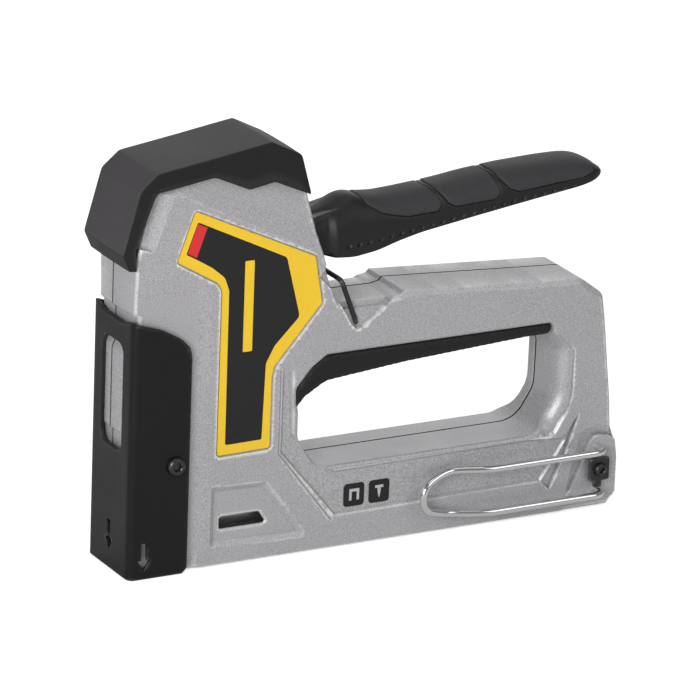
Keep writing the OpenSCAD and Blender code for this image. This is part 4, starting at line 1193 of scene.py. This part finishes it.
hook = wire(HOOK_HALF_ROUTE, (1, 1, -1), (0, 0, 2 * HOOK_MIDDLE), HOOK_BEND, 4.0, HOOK_RADIUS, 24)
add_piece("hook_wire", *hook, "casing", "chrome_wire", CHROME, ["belt_hook"], 60.0)
bail = wire(BAIL_HALF_ROUTE, (1, -1, 1), (0, 0, 0), BAIL_BEND, 2.5, BAIL_RADIUS, 18)
add_piece("bail_wire", *bail, "bail", "black_wire", BLACK_WIRE, ["lock_bail"], 60.0)
clip_points, clip_tris = triangulate(CLIP_LINE, [circle(*CLIP_SCREW, CLIP_HOLE, 20)], [], 1.6)
clip = shell(clip_points, clip_tris, at_y(CLIP_FACE - CLIP_SHEET), at_y(CLIP_FACE + 0.1), 0.3, 0.3)
add_piece("hook_plate", *clip, "casing", "black_wire", BLACK_WIRE, ["hook_clip"], 30.0)

# ---------------------------------------------------------------- screws
# radius and height of each head
CLIP_BUTTON, NOSE_BUTTON, BODY_HEAD = (2.8, 1.9), (3.9, 2.2), (3.65, 2.6)
NOSE_SCREW = (19.2, 44.6)
BUTTON_SHANK, BODY_SHANK = 7, 19
BODY_SEAT = 12.3                         # y of the counterbores' floors


def drive_socket(radius, height):
    """Profile of a screw's socket, from its mouth to the middle of its floor."""
    return [(radius + 0.25, height + 0.001), (radius, height - 0.25),
            (radius * 0.96, 0.35 * height), (0.02, 0.3 * height)]


def button(place, side, radius, height):
    """Button-head screw: shank, underside, domed head, and a lobed socket with a flat floor. The
    dome is a quarter of an ellipse."""
    dome = [(radius * (1 - 0.42 * (1 - math.cos(a))), height * math.sin(a))
            for a in np.linspace(0, math.pi / 2, 8)]
    body = [(0.0, -BUTTON_SHANK), (0.46 * radius, -BUTTON_SHANK),
            (0.5 * radius, 0.4 - BUTTON_SHANK), (0.5 * radius, -0.02), (radius, 0.0)]
    return turned(body + dome + drive_socket(0.42 * radius, height), place, side)


def pan_head(place, radius, height):
    """Pan-head screw for a counterbore: straight sides, a small round, and a lobed socket."""
    body = [(0.0, -BODY_SHANK), (0.5 * radius, -BODY_SHANK), (0.54 * radius, -0.02), (radius, 0.0),
            (radius, height - 0.7), (radius - 0.2, height - 0.2), (radius - 0.7, height)]
    return turned(body + drive_socket(0.45 * radius, height), place, 1)


clip_button = button((CLIP_SCREW[0], CLIP_FACE - CLIP_SHEET, CLIP_SCREW[1]), -1, *CLIP_BUTTON)
add_piece("hook_plate_screw", *clip_button, "casing", "dark_screw", SCREW, ["hook_screw"], 30.0)
nose_buttons = [button((NOSE_SCREW[0], side * COVER_HALF, NOSE_SCREW[1]), side, *NOSE_BUTTON)
                for side in (-1, 1)]
add_piece("nose_buttons", *joined(*nose_buttons), "casing", "dark_screw", SCREW, ["nose_screws"],
          30.0)
body_screws = [pan_head((x, BODY_SEAT, z), *BODY_HEAD) for x, z in BODY_SCREWS]
add_piece("casing_screws", *joined(*body_screws), "casing", "zinc_steel", ZINC, ["body_screws"],
          30.0)


def spring(name, body, node, axis, centre, margin, radius, wire_radius, turns, steps, sides):
    """Coil in place of a CAD spring, whose ends it stays inside by a margin; centre is where its
    line crosses the other two axes."""
    low, high = extent(node)
    start = np.insert(np.array(centre, float), axis, low[axis] + margin)
    route = helix(start, axis, radius, high[axis] - low[axis] - 2 * margin, turns, steps)
    solid = tube(route, wire_radius, sides)
    return add_piece(name, *solid, body, "spring_steel", SPRING, [node], 60.0)


striker_spring = spring("striker_spring", "casing", "main_spring", axis=2, centre=(19, 0),
                        margin=1.3, radius=6.7, wire_radius=1.3, turns=7.5, steps=28, sides=12)
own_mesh(striker_spring)
feed_spring = spring("feed_spring", "magazine", "follower_spring", axis=0, centre=(0, 7),
                     margin=0.4, radius=2.4, wire_radius=0.4, turns=24, steps=14, sides=6)
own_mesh(feed_spring)
latch_coil = spring("latch_coil", "magazine", "latch_spring", axis=0, centre=(0, 12),
                    margin=0.3, radius=1.1, wire_radius=0.25, turns=4, steps=14, sides=6)
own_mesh(latch_coil)


# ---------------------------------------------------------------- plainer pieces, edges rounded
def eased_copy(node, name, width, material, slot, body):
    """Copy of a CAD node with its loose triangles merged and its edges bevelled."""
    mesh = frame["nodes"][node].data.copy()
    mesh.name = name
    build = bmesh.new()
    build.from_mesh(mesh)
    bmesh.ops.remove_doubles(build, verts=build.verts, dist=0.00001)
    bmesh.ops.dissolve_limit(build, angle_limit=math.radians(2), verts=build.verts,
                             edges=build.edges)
    build.to_mesh(mesh)
    build.free()
    mesh.materials.clear()
    mesh.materials.append(material)
    mesh.polygons.foreach_set("use_smooth", np.ones(len(mesh.polygons), bool))
    mesh.set_sharp_from_angle(angle=math.radians(30))
    piece = add_object(name, mesh)
    edge = piece.modifiers.new("eased_edges", "BEVEL")
    edge.width, edge.segments, edge.limit_method = width * MM, 2, "ANGLE"
    edge.angle_limit = math.radians(40)
    edge.use_clamp_overlap = True
    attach(piece, body)
    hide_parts(node)


BODY_OF = {node: body for body, members in frame["record"]["behaviour"]["bodies"].items()
           for node in members}
EASED = {"magazine_channel": 0.25, "magazine_rail": 0.2, "magazine_end_cap": 0.5,
         "latch_button": 0.4, "follower": 0.4, "plunger": 0.4, "spring_seat": 0.3, "bumper": 0.8,
         "lever_core": 0.3, "driver_blade": 0.15}      # width of the rounding of each one's edges
for node, width in EASED.items():
    slot_name = SLOT_OF[node]
    eased_copy(node, node + "_finished", width, FINISH[slot_name], slot_name, BODY_OF[node])

# ---------------------------------------------------------------- stage, light and camera
FLOOR_HALF, FLOOR_DROP = 6, 0.0002       # metres; the drop keeps it clear of the tool's foot
floor = add_object("floor", bpy.data.meshes.new("floor"))
floor.data.from_pydata([(x * FLOOR_HALF, y * FLOOR_HALF, -FLOOR_DROP)
                        for x, y in ((-1, -1), (1, -1), (1, 1), (-1, 1))], [], [(0, 1, 2, 3)])
floor_material, floor_tree, floor_shader, _ = blank("pale_floor")
floor_shader.inputs["Base Color"].default_value = (0.85, 0.85, 0.85, 1)
floor_shader.inputs["Roughness"].default_value = 0.9
floor_shader.inputs["Specular IOR Level"].default_value = 0.0
floor_shader.inputs["Emission Color"].default_value = (1, 1, 1, 1)
seen = put(floor_tree, "LightPath").outputs["Is Camera Ray"]
floor_tree.links.new(math_node(floor_tree, "MULTIPLY", seen, 0.62),
                     floor_shader.inputs["Emission Strength"])
floor.data.materials.append(floor_material)


MIDDLE = Vector((0.105, 0, 0.08))        # what the lamps look at, in metres


def area_light(name, place, size, watts):
    """Soft square lamp that looks at the tool; its place and size are in metres."""
    data = bpy.data.lights.new(name, "AREA")
    data.shape, data.size, data.energy = "SQUARE", size, watts
    lamp = add_object(name, data)
    lamp.location = place
    lamp.rotation_mode = "QUATERNION"
    lamp.rotation_quaternion = (MIDDLE - Vector(place)).to_track_quat("-Z", "Y")


area_light("key", (-0.85, -0.8, 0.5), 0.6, 11)
area_light("front_right", (0.78, -1.08, 0.87), 0.9, 3.6)
area_light("back_card", (0.75, 1.25, 0.6), 1.3, 6)
area_light("top", (0.15, 0.1, 1.3), 0.8, 2.5)
# the world is white to the camera, and dim as a light
world = bpy.data.worlds.new("studio")
world.use_nodes = True
sky_tree = world.node_tree
sky = sky_tree.nodes["Background"].inputs
sky["Color"].default_value = (1, 1, 1, 1)
seen = put(sky_tree, "LightPath").outputs["Is Camera Ray"]
sky_tree.links.new(remap(sky_tree, seen, 0.0, 1.0, 0.24, 1.0), sky["Strength"])
bpy.context.scene.world = world
bpy.context.scene.view_settings.view_transform = "Standard"

# the camera aims at a point of the mid-plane, with its own right and up given in the frame
AIM, DISTANCE, FOCAL = Vector((0.102866, 0, 0.074689)), 2.528016, 335.17
RIGHT, UP = Vector((0.8819, -0.4701, 0.0349)), Vector((0.1252, 0.3051, 0.9441))
lens = bpy.data.cameras.new("camera")
lens.lens, lens.sensor_width = FOCAL, 36
camera = add_object("camera", lens)
BACK = RIGHT.cross(UP).normalized()
UP = BACK.cross(RIGHT).normalized()
camera.rotation_mode = "QUATERNION"
camera.rotation_quaternion = Matrix((RIGHT, UP, BACK)).transposed().to_quaternion()
camera.location = AIM + BACK * DISTANCE
lens.clip_start, lens.clip_end = 0.05, 30
bpy.context.scene.camera = camera

bpy.context.view_layer.update()
